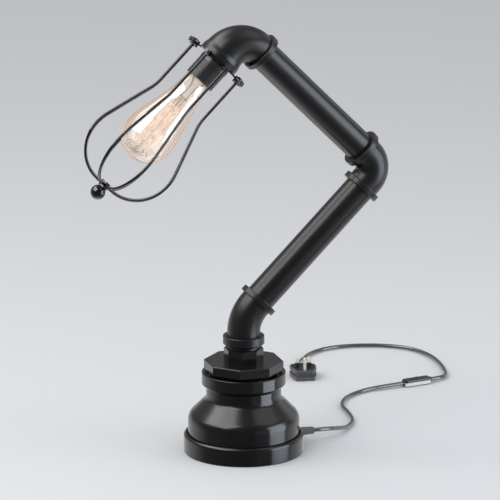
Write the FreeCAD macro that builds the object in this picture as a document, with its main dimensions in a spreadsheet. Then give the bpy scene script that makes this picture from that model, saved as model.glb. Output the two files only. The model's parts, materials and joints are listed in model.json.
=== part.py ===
import FreeCAD, Part
import math
import operator
import os
from types import SimpleNamespace

import Sketcher
from FreeCAD import Placement, Rotation, Vector

# An industrial table lamp made of pipe fittings. Millimetres, +Z up, origin on the floor under
# the centre of the base. The arms lie in the XZ plane: the lower pipe leans towards +X and the
# head looks towards -X. Every piece on an arm is built about its own Z axis, with its origin at
# the corner of the elbow where that arm starts, and is then tilted into place.

DRIVING_SIZES = {
    # base casting, turned about the vertical axis
    "pad_thickness": 1.0, "pad_inset": 0.4, "rim_radius": 75.2, "rim_top": 19.5,
    "rim_roll": 3.9, "groove_depth": 1.8, "wall_radius": 69.8, "wall_top": 40.0,
    "shoulder_radius": 16.0, "neck_radius": 47.0, "neck_fillet": 10.0, "neck_top": 82.5,
    "collar_flare": 5.2, "collar_radius": 52.5, "collar_top": 102.4, "mouth_radius": 47.6,
    "mouth_depth": 5.0, "casting_wall": 6.0,
    # what closes and weighs the base
    "plate_radius": 66.0, "plate_thickness": 3.0, "ballast_radius": 51.5,
    "ballast_thickness": 6.0, "screw_circle": 59.0, "screw_radius": 2.0, "boss_radius": 5.2,
    "bolt_circle": 38.0,
    # the bushes between base and arm
    "bush_turn": 21.5, "bush_radius": 49.8, "bush_lift": 2.8, "bush_thickness": 11.7,
    "bush_edge": 0.8, "shank_radius": 42.0, "shank_length": 15.0, "swivel_radius": 24.8,
    "swivel_height": 16.4, "swivel_shank": 16.0, "spigot_radius": 18.0,
    "spigot_length": 16.0, "wireway_radius": 11.0, "nut_bevel": 30.0,
    # pipes and elbows
    "pipe_radius": 19.0, "pipe_wall": 3.2, "tube_radius": 20.6, "tube_bore": 16.0,
    "band_radius": 25.2, "band_width": 7.6, "band_edge": 1.0,
    "lean": 45.0, "corner_height": 173.2, "lower_reach": 252.3, "upper_reach": 255.9,
    "lower_bend": 50.0, "lower_mouth": 31.0, "foot_radius": 25.9, "foot_band": 10.1,
    "foot_taper": 3.2, "foot_lip": 2.3,
    "middle_bend": 24.0, "middle_mouth": 37.8, "top_bend": 31.5, "top_mouth": 39.2,
    "top_tube": 21.5, "top_swell": 4.0, "head_radius": 27.0, "head_end": 45.0,
    # clearances
    "running_gap": 0.3, "turning_fit": 0.06, "seat_fit": 0.05,
    # lampholder
    "adapter_radius": 23.0, "adapter_thickness": 8.0, "nipple_radius": 5.0,
    "nipple_bore": 3.4, "holder_radius": 20.0, "holder_length": 30.6, "holder_wall": 2.8,
    "holder_smooth": 6.6, "ridge_pitch": 2.3, "ridge_depth": 0.9, "liner_radius": 14.0,
    "liner_wall": 0.5, "core_thickness": 6.0,
    # bulb
    "bulb_radius": 33.2, "bulb_tip": 202.8, "bulb_shoulder": 80.0, "bulb_flank": 150.0,
    "bulb_slope": 14.0, "bulb_run": 34.0, "neck_slope": 7.6, "bulb_foot": 79.0,
    "glass_skin": 0.9, "cap_radius": 13.2,
    # what stands in the bulb
    "stem_top": 116.0, "stem_radius": 4.2, "rod_radius": 1.2, "crown_level": 113.5,
    "crown_radius": 6.2, "hook_level": 186.5, "hook_radius": 11.8, "star_level": 193.5,
    "filament_turns": 9.0, "filament_wire": 0.35,
    # cage
    "cage_plate": 2.2, "cage_plate_radius": 36.5, "cage_plate_hole": 15.0, "wire_radius": 1.9,
    "cage_waist": 38.5, "cage_belly": 63.0, "cage_end": 249.3, "cage_sweep": 50.0,
    "cage_flare": 18.2, "flare_radius": 57.0, "cage_twist": -0.3, "lug_width": 7.0,
    "lug_depth": 3.2, "eyelet_radius": 4.3, "hub_radius": 6.6, "hub_length": 8.4,
    "ball_radius": 9.3, "ball_place": 261.4,
    # mains lead
    "cord_radius": 2.75, "cord_height": 15.8, "gland_radius": 5.3, "gland_reach": 92.6,
    "gland_tip": 4.6, "gland_nut": 7.6, "gland_nut_width": 4.4, "nut_standoff": 0.5,
    "flex_radius": 2.6,
    # switch on the lead
    "switch_x": 303.5, "switch_y": 192.5, "switch_turn": 9.0, "switch_length": 38.0,
    "switch_width": 12.6, "switch_height": 9.0, "switch_split": 5.4, "switch_wall": 1.3,
    "switch_corner": 2.4, "rocker_length": 11.0, "rocker_width": 6.4, "rocker_pin": 0.9,
    "rocker_depth": 2.6, "rocker_tilt": 7.0, "rocker_place": -3.0,
    # plug
    "plug_x": 174.03, "plug_y": 271.53, "plug_turn": -10.5, "plug_width": 35.0,
    "plug_length": 39.0, "plug_nose": 24.0, "plug_corner": 11.0, "plug_height": 14.0,
    "plug_split": 5.6, "plug_flange": 3.6, "plug_recess": 0.9, "plug_rim": 2.0,
    "plug_waist": 2.6, "plug_wall": 0.9, "pin_width": 2.9, "earth_length": 5.6,
    "live_length": 4.5, "earth_height": 15.6, "live_height": 12.4, "pin_spread": 15.6,
    "pin_row": 14.4, "pin_setback": 15.5, "guard_length": 10.0, "guard_radius": 4.2,
}

SIDES_OF_BUSH = 8
CAGE_WIRES = 8
PLATE_SCREWS = 3

# The lead lies on the floor in a loose hook behind the lamp. Points of its route, chosen by hand.
LEAD_TO_SWITCH = [
    (92.6, 0.0, 15.8), (110.0, 0.0, 15.8), (131.0, 16.0, 9.8), (150.0, 34.0, 3.4),
    (168.0, 60.0, 2.75), (174.0, 95.0, 2.75), (175.0, 128.0, 2.75), (192.0, 160.0, 2.75),
    (227.0, 183.0, 2.75), (258.07, 185.31, 4.5), (284.73, 189.53, 4.5),
]
LEAD_TO_PLUG = [
    (322.27, 195.47, 4.5), (340.05, 198.28, 4.5), (353.5, 213.0, 2.75), (361.5, 245.0, 2.75),
    (366.0, 282.0, 2.75), (363.5, 316.0, 2.75), (350.0, 348.5, 2.75), (319.0, 371.0, 2.75),
    (280.0, 383.0, 2.75), (243.0, 381.0, 2.75), (214.0, 364.0, 2.75), (196.0, 338.0, 3.6),
    (182.69, 318.24, 7.0), (179.41, 300.54, 7.0),
]


class Size:
    """A number that carries its spreadsheet formula, so that geometry stays tied to the sheet."""

    def __init__(self, value, formula):
        self.value = float(value)
        self.formula = formula

    def __add__(self, other):
        return combine(self, "+", other)

    def __radd__(self, other):
        return combine(other, "+", self)

    def __sub__(self, other):
        return combine(self, "-", other)

    def __rsub__(self, other):
        return combine(other, "-", self)

    def __mul__(self, other):
        return combine(self, "*", other)

    def __rmul__(self, other):
        return combine(other, "*", self)

    def __truediv__(self, other):
        return combine(self, "/", other)

    def __neg__(self):
        return combine(0, "-", self)


OPERATIONS = {"+": operator.add, "-": operator.sub, "*": operator.mul, "/": operator.truediv}


def as_size(number):
    return number if isinstance(number, Size) else Size(number, repr(float(number)))


def combine(first, sign, second):
    first, second = as_size(first), as_size(second)
    formula = "(%s %s %s)" % (first.formula, sign, second.formula)
    return Size(OPERATIONS[sign](first.value, second.value), formula)


def sine(degrees):
    degrees = as_size(degrees)
    return Size(math.sin(math.radians(degrees.value)), "sin(%s)" % degrees.formula)


def cosine(degrees):
    degrees = as_size(degrees)
    return Size(math.cos(math.radians(degrees.value)), "cos(%s)" % degrees.formula)


def tangent(degrees):
    degrees = as_size(degrees)
    return Size(math.tan(math.radians(degrees.value)), "tan(%s)" % degrees.formula)


# ---------------------------------------------------------------- document and spreadsheet

doc = FreeCAD.newDocument("pipe_table_lamp")
sheet = doc.addObject("Spreadsheet::Sheet", "Sizes")
for row, (alias, number) in enumerate(DRIVING_SIZES.items(), start=1):
    sheet.set("A%d" % row, alias)
    sheet.set("B%d" % row, str(number))
    sheet.setAlias("B%d" % row, alias)
doc.recompute()
size = SimpleNamespace(**{alias: Size(number, "Sizes." + alias)
                          for alias, number in DRIVING_SIZES.items()})
nodes = {}


# ---------------------------------------------------------------- drawing helpers

def origin_plane(body, role):
    return next(feature for feature in body.Origin.OriginFeatures if feature.Role == role)


def start_body(name):
    body = doc.addObject("PartDesign::Body", name)
    body.Label = name
    return body


def add_sketch(body, role, level=0.0, spin=0.0):
    """A sketch on one of the body's origin planes, lifted by level and spun about its normal."""
    sketch = body.newObject("Sketcher::SketchObject", "sketch")
    sketch.AttachmentSupport = (origin_plane(body, role), [""])
    sketch.MapMode = "FlatFace"
    level, spin = as_size(level), as_size(spin)
    turn = Rotation(Vector(0, 0, 1), spin.value)
    sketch.AttachmentOffset = Placement(Vector(0, 0, level.value), turn)
    sketch.setExpression("AttachmentOffset.Base.z", level.formula)
    return sketch


def arc_between(start, end, radius):
    """The shorter arc from start to end, with its first and last point numbers."""
    along = end - start
    reach = math.sqrt(max(radius ** 2 - along.Length ** 2 / 4, 0.0))
    left = Vector(-along.y, along.x, 0).normalize()
    centre = (start + end) * 0.5 + left * math.copysign(reach, radius)
    circle = Part.Circle(centre, Vector(0, 0, 1), abs(radius))
    first, last = [math.atan2(point.y - centre.y, point.x - centre.x) for point in (start, end)]
    if radius > 0:
        return Part.ArcOfCircle(circle, first, last), 1, 2
    return Part.ArcOfCircle(circle, last, first), 2, 1


def draw_outline(sketch, corners, closed=True):
    """Lines and arcs through the corners, each tied to the sheet.

    A corner is (across, up), or (across, up, radius) where the stretch that arrives there is an
    arc: it bends to the left when the radius is positive.
    """
    base = sketch.GeometryCount
    points = [Vector(as_size(corner[0]).value, as_size(corner[1]).value, 0) for corner in corners]
    shapes, ends, rules = [], [], []
    for index in range(0 if closed else 1, len(corners)):
        start, end = points[index - 1], points[index]
        if len(corners[index]) > 2:
            shape, first, last = arc_between(start, end, as_size(corners[index][2]).value)
        else:
            shape, first, last = Part.LineSegment(start, end), 1, 2
        ends.append((base + len(shapes), first, last))
        shapes.append(shape)
    sketch.addGeometry(shapes, False)

    def rule(constraint, place=None):
        rules.append((constraint, place))

    def pin(edge, point, corner):
        for kind, axis, place in (("DistanceX", -2, corner[0]), ("DistanceY", -1, corner[1])):
            place = as_size(place)
            if abs(place.value) < 1e-9:
                rule(Sketcher.Constraint("PointOnObject", edge, point, axis))
            else:
                rule(Sketcher.Constraint(kind, -1, 1, edge, point, place.value), place)

    for number, (edge, first, last) in enumerate(ends):
        corner = corners[number if closed else number + 1]
        pin(edge, last, corner)
        if closed or number + 1 < len(ends):
            following = ends[(number + 1) % len(ends)]
            rule(Sketcher.Constraint("Coincident", edge, last, following[0], following[1]))
        if len(corner) > 2:
            bend = as_size(corner[2])
            bend = bend if bend.value > 0 else -bend
            rule(Sketcher.Constraint("Radius", edge, bend.value), bend)
    if not closed:
        pin(ends[0][0], ends[0][1], corners[0])
    apply_rules(sketch, rules)


def draw_circle(sketch, radius, across=0.0, up=0.0):
    radius, across, up = as_size(radius), as_size(across), as_size(up)
    centre = Vector(across.value, up.value, 0)
    edge = sketch.addGeometry(Part.Circle(centre, Vector(0, 0, 1), radius.value), False)
    rules = [(Sketcher.Constraint("Radius", edge, radius.value), radius)]
    for kind, axis, place in (("DistanceX", -2, across), ("DistanceY", -1, up)):
        if abs(place.value) < 1e-9:
            rules.append((Sketcher.Constraint("PointOnObject", edge, 3, axis), None))
        else:
            rules.append((Sketcher.Constraint(kind, -1, 1, edge, 3, place.value), place))
    apply_rules(sketch, rules)


def apply_rules(sketch, rules):
    first = sketch.ConstraintCount
    sketch.addConstraint([constraint for constraint, place in rules])
    for number, (constraint, place) in enumerate(rules, start=first):
        if place is not None:
            sketch.setExpression("Constraints[%d]" % number, place.formula)


def rectangle(width, length, across=0.0, up=0.0):
    half, reach = width / 2, length / 2
    return [(across - half, up - reach), (across + half, up - reach),
            (across + half, up + reach), (across - half, up + reach)]


def rounded_rectangle(width, length, corner):
    half, reach = width / 2, length / 2
    return [(corner - half, -reach, corner), (half - corner, -reach),
            (half, corner - reach, corner), (half, reach - corner),
            (half - corner, reach, corner), (corner - half, reach),
            (-half, reach - corner, corner), (-half, corner - reach)]


def regular_outline(radius, sides, first_angle):
    return [(radius * cosine(first_angle + 360.0 * side / sides),
             radius * sine(first_angle + 360.0 * side / sides)) for side in range(sides)]


# ---------------------------------------------------------------- feature helpers

def revolve(body, outline, spin=0.0, role="XZ_Plane"):
    """Turns an outline of (radius, height) about the sketch's upright axis."""
    sketch = add_sketch(body, role, 0.0, spin)
    draw_outline(sketch, outline)
    turning = body.newObject("PartDesign::Revolution", "turning")
    turning.Profile = sketch
    turning.ReferenceAxis = (sketch, ["V_Axis"])
    turning.Angle = 360
    return turning


def turn_away(body, outline, role="XZ_Plane"):
    """Turns material away all round the sketch's upright axis, and makes sure that it went."""
    doc.recompute()
    before = body.Shape.Volume
    sketch = add_sketch(body, role)
    draw_outline(sketch, outline)
    groove = body.newObject("PartDesign::Groove", "groove")
    groove.Profile = sketch
    groove.ReferenceAxis = (sketch, ["V_Axis"])
    groove.Angle = 360
    doc.recompute()
    if not body.Shape.Volume < before:
        raise RuntimeError("a groove of %s cuts nothing" % body.Label)
    return groove


def raise_pad(body, draw, level, height, role="XY_Plane", spin=0.0):
    sketch = add_sketch(body, role, level, spin)
    draw(sketch)
    pad = body.newObject("PartDesign::Pad", "pad")
    pad.Profile = sketch
    pad.Length = as_size(height).value
    pad.setExpression("Length", as_size(height).formula)
    return pad


def cut_pocket(body, draw, level, depth, role="XY_Plane", upwards=False, spin=0.0):
    """Cuts away from the sketch, below it or above it, and makes sure that material went."""
    doc.recompute()
    before = body.Shape.Volume
    sketch = add_sketch(body, role, level, spin)
    draw(sketch)
    pocket = body.newObject("PartDesign::Pocket", "pocket")
    pocket.Profile = sketch
    pocket.Reversed = upwards
    pocket.Length = as_size(depth).value
    pocket.setExpression("Length", as_size(depth).formula)
    doc.recompute()
    if not body.Shape.Volume < before:
        raise RuntimeError("a pocket of %s cuts nothing" % body.Label)
    return pocket


def dress_edges(body, kind, amount, chosen):
    """Fillets or chamfers those edges of the body's tip that a test of their middle picks."""
    doc.recompute()
    tip = body.Tip
    names = ["Edge%d" % number for number, edge in enumerate(tip.Shape.Edges, start=1)
             if chosen(edge.CenterOfMass)]
    dressing = body.newObject("PartDesign::" + kind, kind.lower())
    dressing.Base = (tip, names)
    measure = {"Fillet": "Radius", "Chamfer": "Size"}[kind]
    setattr(dressing, measure, as_size(amount).value)
    dressing.setExpression(measure, as_size(amount).formula)
    return dressing


def round_edges(body, radius, chosen):
    return dress_edges(body, "Fillet", radius, chosen)


def circle_at(radius, across=0.0, up=0.0):
    return lambda sketch: draw_circle(sketch, radius, across, up)


def circles_around(radius, circle, count, first_angle=0.0):
    def draw(sketch):
        for number in range(count):
            angle = first_angle + 360.0 * number / count
            draw_circle(sketch, radius, circle * cosine(angle), circle * sine(angle))
    return draw


def outline_of(corners):
    return lambda sketch: draw_outline(sketch, corners)


def keep(name, item):
    """Names a finished sub-part: its label is the name of its file."""
    item.Label = name
    nodes[name] = item
    return item


def turned(name, outline, placement=None):
    body = start_body(name)
    revolve(body, outline)
    if placement:
        placement(body)
    return keep(name, body)


def keep_shape(name, shape, placement=None):
    feature = doc.addObject("Part::Feature", name)
    feature.Shape = shape
    if placement:
        placement(feature)
    return keep(name, feature)


def seat(where, tilt=0.0, spin=0.0):
    """Returns a function that moves a piece to a point, tilted about Y after a spin about Z."""
    where = [as_size(part) for part in where]

    def place(item):
        turn = Rotation(Vector(0, 1, 0), as_size(tilt).value)
        turn = turn.multiply(Rotation(Vector(0, 0, 1), as_size(spin).value))
        item.Placement = Placement(Vector(*[part.value for part in where]), turn)
        for axis, part in zip("xyz", where):
            item.setExpression("Placement.Base." + axis, part.formula)
    return place


def around(shape, count, first_angle=0.0):
    """Copies of a shape set round the Z axis."""
    copies = []
    for number in range(count):
        copy = shape.copy()
        copy.rotate(Vector(0, 0, 0), Vector(0, 0, 1), first_angle + 360.0 * number / count)
        copies.append(copy)
    return Part.makeCompound(copies)


def along_route(points, radius):
    """A round tube along straight runs that tangent arcs join."""
    points = [Vector(*[as_size(part).value for part in point]) for point in points]
    pieces, start = [], points[0]
    for before, corner, after in zip(points, points[1:], points[2:]):
        arriving, leaving = (corner - before).normalize(), (after - corner).normalize()
        half_turn = arriving.getAngle(leaving) / 2
        shorter = min((corner - before).Length, (after - corner).Length)
        trim = 0.45 * shorter
        bend = trim / math.tan(half_turn)
        inward = (leaving - arriving).normalize()
        middle = corner + inward * (bend / math.cos(half_turn) - bend)
        first, last = corner - arriving * trim, corner + leaving * trim
        pieces.append(Part.LineSegment(start, first).toShape())
        pieces.append(Part.Arc(first, middle, last).toShape())
        start = last
    pieces.append(Part.LineSegment(start, points[-1]).toShape())
    spine = Part.Wire(pieces)
    section = Part.Wire([Part.makeCircle(radius, points[0], points[1] - points[0])])
    tube = spine.makePipeShell([section], True, False)
    expected = math.pi * radius ** 2 * spine.Length
    if abs(tube.Volume - expected) > 0.01 * expected:
        raise RuntimeError("a tube along a route has the wrong volume")
    return tube


# ---------------------------------------------------------------- where the arms are

lean = size.lean
lower_corner = (0, 0, size.corner_height)
middle_corner = (size.lower_reach * sine(lean), 0,
                 size.corner_height + size.lower_reach * cosine(lean))
top_corner = (middle_corner[0] - size.upper_reach * cosine(lean), 0,
              middle_corner[2] + size.upper_reach * sine(lean))
on_lower_arm = seat(lower_corner, lean)
on_upper_arm = seat(middle_corner, lean - 90)
on_head = seat(top_corner, lean - 180)


# ---------------------------------------------------------------- base

slope_radius = size.wall_radius - size.shoulder_radius * (1 - cosine(45))
slope_start = size.wall_top + size.shoulder_radius * sine(45)
fillet_tangent = size.neck_fillet * tangent(22.5)
slope_end = slope_start + slope_radius - size.neck_radius
rim_inner = size.rim_radius - size.rim_roll
rim_peak = size.rim_top + size.rim_roll
cavity_radius = size.wall_radius - size.casting_wall
plate_top = size.pad_thickness + size.plate_thickness
neck_bore = size.neck_radius - size.casting_wall - 1
cavity_slope = cavity_radius - neck_bore
bush_low = size.collar_top + size.bush_lift
bush_top = bush_low + size.bush_thickness
swivel_top = bush_top + size.swivel_height
shank_floor = bush_low - size.shank_length


def base_casting():
    """A bell reducer: rim, straight wall, sloping shoulder, neck and threaded collar."""
    body = start_body("base_casting")
    revolve(body, [
        (size.plate_radius + size.seat_fit, size.pad_thickness),
        (size.rim_radius, size.pad_thickness),
        (size.rim_radius, size.rim_top),
        (rim_inner, rim_peak, size.rim_roll),
        (size.wall_radius, rim_peak - size.groove_depth),
        (size.wall_radius, size.wall_top),
        (slope_radius, slope_start, size.shoulder_radius),
        (size.neck_radius + fillet_tangent * sine(45), slope_end - fillet_tangent * cosine(45)),
        (size.neck_radius, slope_end + fillet_tangent, -size.neck_fillet),
        (size.neck_radius, size.neck_top),
        (size.collar_radius, size.neck_top + size.collar_flare),
        (size.collar_radius, size.collar_top - size.band_edge),
        (size.collar_radius - size.band_edge, size.collar_top, size.band_edge),
        (size.mouth_radius, size.collar_top),
        (size.mouth_radius, size.collar_top - size.mouth_depth),
        (size.shank_radius + size.seat_fit, size.collar_top - size.mouth_depth),
        (size.shank_radius + size.seat_fit, shank_floor),
        (neck_bore, shank_floor),
        (neck_bore, size.wall_top + cavity_slope),
        (cavity_radius, size.wall_top),
        (cavity_radius, plate_top),
        (size.plate_radius + size.seat_fit, plate_top),
    ])
    boss_height = size.wall_top - plate_top
    raise_pad(body, circles_around(size.boss_radius, size.screw_circle, PLATE_SCREWS, 60),
              plate_top, boss_height)
    cut_pocket(body, circles_around(size.screw_radius + size.seat_fit, size.screw_circle,
                                    PLATE_SCREWS, 60),
               plate_top, boss_height / 2, upwards=True)
    cut_pocket(body, circle_at(size.gland_radius + size.seat_fit, 0, size.cord_height),
               size.rim_radius + 5, size.rim_radius + 5 - cavity_radius / 1.1, "YZ_Plane")
    return keep("base_casting", body)


def base_plate():
    body = start_body("base_plate")
    revolve(body, [(0, size.pad_thickness), (size.plate_radius, size.pad_thickness),
                   (size.plate_radius, plate_top), (0, plate_top)])
    hole = size.screw_radius + size.seat_fit
    cut_pocket(body, circles_around(hole, size.screw_circle, PLATE_SCREWS, 60),
               plate_top, size.plate_thickness)
    cut_pocket(body, circles_around(hole, size.bolt_circle, PLATE_SCREWS), plate_top,
               size.plate_thickness)
    cut_pocket(body, circles_around(hole * 2, size.screw_circle, PLATE_SCREWS, 60),
               size.pad_thickness, size.plate_thickness * 0.7, upwards=True)
    cut_pocket(body, circles_around(hole * 2, size.bolt_circle, PLATE_SCREWS),
               size.pad_thickness, size.plate_thickness * 0.7, upwards=True)
    return keep("base_plate", body)


def base_pad():
    """The felt that the base stands on."""
    return turned("base_pad", [(0, 0), (size.rim_radius - size.pad_inset, 0),
                               (size.rim_radius - size.pad_inset, size.pad_thickness),
                               (0, size.pad_thickness)])


def ballast():
    body = start_body("ballast_weight")
    top = plate_top + size.ballast_thickness
    revolve(body, [(0, plate_top), (size.ballast_radius, plate_top),
                   (size.ballast_radius, top - 1), (size.ballast_radius - 1, top), (0, top)])
    cut_pocket(body, circles_around(size.screw_radius + size.seat_fit, size.bolt_circle,
                                    PLATE_SCREWS), plate_top, size.ballast_thickness,
               upwards=True)
    return keep("ballast_weight", body)


def flat_screws(name, circle, first_angle, length):
    """Screws with sunk cheese heads, driven up through the base plate."""
    head = size.plate_thickness * 0.7
    radius = size.screw_radius.value
    low = size.pad_thickness.value
    screw = Part.makeCylinder(radius * 2, head.value, Vector(circle.value, 0, low))
    shank = Part.makeCylinder(radius, as_size(length).value, Vector(circle.value, 0, low))
    slot = Part.makeBox(radius * 5, 0.8, 0.8, Vector(circle.value - radius * 2.5, -0.4, low))
    return keep_shape(name, around(screw.fuse(shank).cut(slot), PLATE_SCREWS, first_angle))


def base_bush():
    """The large octagonal reducing bush, screwed into the collar up to its last threads."""
    body = start_body("base_bush")
    corners = regular_outline(size.bush_radius, SIDES_OF_BUSH, size.bush_turn)
    raise_pad(body, outline_of(corners), bush_low, size.bush_thickness)
    dress_edges(body, "Chamfer", size.bush_edge, lambda middle: middle.z > bush_top.value - 0.01)
    raise_pad(body, circle_at(size.shank_radius), shank_floor, size.shank_length)
    cut_pocket(body, circle_at(size.swivel_shank + size.seat_fit), bush_top,
               size.bush_thickness + size.shank_length)
    return keep("base_bush", body)


def swivel_bush():
    """The small octagonal nipple: its spigot is the bearing that the whole lamp turns on."""
    body = start_body("swivel_bush")
    corners = regular_outline(size.swivel_radius, SIDES_OF_BUSH, size.bush_turn)
    raise_pad(body, outline_of(corners), bush_top, size.swivel_height)
    flat = size.swivel_radius * cosine(180.0 / SIDES_OF_BUSH)
    outer = size.swivel_radius + 1
    turn_away(body, [(flat, swivel_top), (outer, swivel_top - (outer - flat) * tangent(
        size.nut_bevel)), (outer, swivel_top)])
    raise_pad(body, circle_at(size.swivel_shank), shank_floor, bush_top - shank_floor)
    raise_pad(body, circle_at(size.spigot_radius), swivel_top, size.spigot_length)
    spigot_end = swivel_top + size.spigot_length
    cut_pocket(body, circle_at(size.wireway_radius), spigot_end, spigot_end - shank_floor)
    return keep("swivel_bush", body)


def cord_gland():
    """The strain relief: a tapered sleeve that passes through the rim of the casting."""
    inner = cavity_radius - size.nut_standoff - size.gland_nut_width - 1
    sleeve = size.flex_radius + size.running_gap
    return turned("strain_relief", [
        (sleeve, inner), (size.gland_radius, inner), (size.gland_radius, size.rim_radius + 2),
        (size.gland_tip, size.gland_reach - 0.8), (size.gland_tip - 0.8, size.gland_reach, 0.8),
        (sleeve, size.gland_reach)], seat((0, 0, size.cord_height), 90))


def gland_nut():
    body = start_body("gland_nut")
    high = cavity_radius - size.nut_standoff
    raise_pad(body, outline_of(regular_outline(size.gland_nut, 6, 0)),
              high - size.gland_nut_width, size.gland_nut_width)
    cut_pocket(body, circle_at(size.gland_radius + size.seat_fit), high, size.gland_nut_width)
    seat((0, 0, size.cord_height), 90)(body)
    return keep("gland_nut", body)


# ---------------------------------------------------------------- elbows and pipes

def elbow_end(tangent_length, tube, bore, band, mouth, socket, shoulder):
    """Section of one end of an elbow, as (radius, distance from the corner)."""
    edge = size.band_edge
    return [(bore, tangent_length), (tube, tangent_length), (tube, mouth - size.band_width),
            (band - edge, mouth - size.band_width),
            (band, mouth - size.band_width + edge, edge), (band, mouth - edge),
            (band - edge, mouth, edge), (socket, mouth), (socket, shoulder), (bore, shoulder)]


def bend_tube(body, bend_radius, turn, tangent_length, tube, bore):
    """The curved part of an elbow: a ring turned about an axis beside it."""
    sketch = add_sketch(body, "XY_Plane", -tangent_length)
    draw_circle(sketch, tube)
    draw_circle(sketch, bore)
    axis = Part.LineSegment(Vector(bend_radius.value, -10, 0), Vector(bend_radius.value, 10, 0))
    line = sketch.addGeometry(axis, True)
    rules = [(Sketcher.Constraint("DistanceX", -1, 1, line, 1, bend_radius.value), bend_radius),
             (Sketcher.Constraint("DistanceY", line, 1, line, 2, 20.0), None),
             (Sketcher.Constraint("Symmetric", line, 1, line, 2, -1), None)]
    apply_rules(sketch, rules)
    bend = body.newObject("PartDesign::Revolution", "bend")
    bend.Profile = sketch
    bend.ReferenceAxis = (sketch, ["Axis0"])
    bend.Angle = as_size(turn).value
    bend.setExpression("Angle", as_size(turn).formula)
    return bend


def lower_elbow():
    """The 45 degree elbow: a deep tapered band and a lip below, a narrow band above."""
    body = start_body("lower_elbow")
    tangent_length = size.lower_bend * tangent(lean / 2)
    foot = size.corner_height - (swivel_top + size.running_gap)
    band_low = foot - size.foot_lip - size.foot_taper
    socket = size.spigot_radius + size.turning_fit
    bend_tube(body, size.lower_bend, lean, tangent_length, size.tube_radius, size.tube_bore)
    revolve(body, [
        (size.tube_bore, tangent_length), (size.tube_radius, tangent_length),
        (size.tube_radius, band_low - size.foot_band),
        (size.foot_radius - size.band_edge, band_low - size.foot_band),
        (size.foot_radius, band_low - size.foot_band + size.band_edge, size.band_edge),
        (size.foot_radius, band_low), (size.tube_radius, band_low + size.foot_taper),
        (size.tube_radius, foot), (socket, foot),
        (socket, foot - size.spigot_length - size.running_gap),
        (size.tube_bore, foot - size.spigot_length - size.running_gap)], 180)
    revolve(body, elbow_end(tangent_length, size.tube_radius, size.tube_bore, size.band_radius,
                            size.lower_mouth, size.pipe_radius + size.seat_fit,
                            tangent_length + 0.3), -lean.value)
    seat(lower_corner)(body)
    return keep("lower_elbow", body)


def middle_elbow():
    """The 90 degree elbow: it turns on the lower pipe and carries the upper one."""
    body = start_body("middle_elbow")
    bend = size.middle_bend
    bend_tube(body, bend, 90, bend, size.tube_radius, size.tube_bore)
    for spin, fit in ((180, size.turning_fit), (-90, size.seat_fit)):
        revolve(body, elbow_end(bend, size.tube_radius, size.tube_bore, size.band_radius,
                                size.middle_mouth, size.pipe_radius + fit, bend + 0.2), spin)
    seat(middle_corner, lean, 180)(body)
    return keep("middle_elbow", body)


def top_elbow():
    """The fat 90 degree elbow that swells from the upper pipe to the lampholder."""
    body = start_body("top_elbow")
    bend = size.top_bend
    steps = 6
    sections = []
    for step in range(steps + 1):
        angle = 90.0 * step / steps
        outer = size.top_tube + size.top_swell * step / steps
        sketch = add_sketch(body, "XY_Plane")
        across = bend * (1 - cosine(angle))
        up = bend * sine(angle) - bend
        sketch.AttachmentOffset = Placement(Vector(across.value, 0, up.value),
                                            Rotation(Vector(0, 1, 0), angle))
        sketch.setExpression("AttachmentOffset.Base.x", across.formula)
        sketch.setExpression("AttachmentOffset.Base.z", up.formula)
        draw_circle(sketch, outer)
        draw_circle(sketch, outer - size.pipe_wall)
        sections.append(sketch)
    loft = body.newObject("PartDesign::AdditiveLoft", "bend")
    loft.Profile = sections[0]
    loft.Sections = sections[1:]
    inner = size.top_tube - size.pipe_wall
    revolve(body, elbow_end(bend, size.top_tube, inner, size.band_radius, size.top_mouth,
                            size.pipe_radius + size.turning_fit, bend + 0.2), 180)
    cut_pocket(body, circle_at(size.pipe_radius + size.turning_fit), -size.top_mouth,
               size.top_mouth - size.top_bend * 0.76, upwards=True)
    end_radius = size.top_tube + size.top_swell
    end_bore = end_radius - size.pipe_wall
    seat_depth = size.head_end - size.adapter_thickness
    revolve(body, [
        (end_bore, bend), (end_radius, bend), (size.head_radius, seat_depth),
        (size.head_radius, size.head_end - size.band_edge),
        (size.head_radius - size.band_edge, size.head_end, size.band_edge),
        (size.adapter_radius + size.seat_fit, size.head_end),
        (size.adapter_radius + size.seat_fit, seat_depth), (end_bore, seat_depth)], -90)
    seat(top_corner, lean - 90, 180)(body)
    return keep("top_elbow", body)


def pipe(name, low, high, placement):
    inner = size.pipe_radius - size.pipe_wall
    return turned(name, [(inner, low), (size.pipe_radius - 0.6, low),
                         (size.pipe_radius, low + 0.6), (size.pipe_radius, high - 0.6),
                         (size.pipe_radius - 0.6, high), (inner, high)], placement)


# ---------------------------------------------------------------- lampholder and bulb

ring_top = size.head_end + size.cage_plate
holder_end = ring_top + size.holder_length
core_top = ring_top + size.holder_wall


def holder_adapter():
    """The plug that closes the elbow and takes the nipple."""
    return turned("holder_adapter", [
        (size.nipple_radius + size.seat_fit, size.head_end - size.adapter_thickness),
        (size.adapter_radius, size.head_end - size.adapter_thickness),
        (size.adapter_radius, size.head_end), (size.nipple_radius + size.seat_fit,
                                               size.head_end)], on_head)


def nipple():
    low = size.head_end - size.adapter_thickness - 6
    return turned("holder_nipple", [(size.nipple_bore, low), (size.nipple_radius, low),
                                    (size.nipple_radius, core_top),
                                    (size.nipple_bore, core_top)], on_head)


def nipple_nut():
    body = start_body("nipple_nut")
    thickness = 3.6
    low = size.head_end - size.adapter_thickness - thickness
    raise_pad(body, outline_of(regular_outline(size.nipple_radius * 1.9, 6, 0)), low, thickness)
    cut_pocket(body, circle_at(size.nipple_radius + size.seat_fit), low + thickness, thickness)
    on_head(body)
    return keep("nipple_nut", body)


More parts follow.
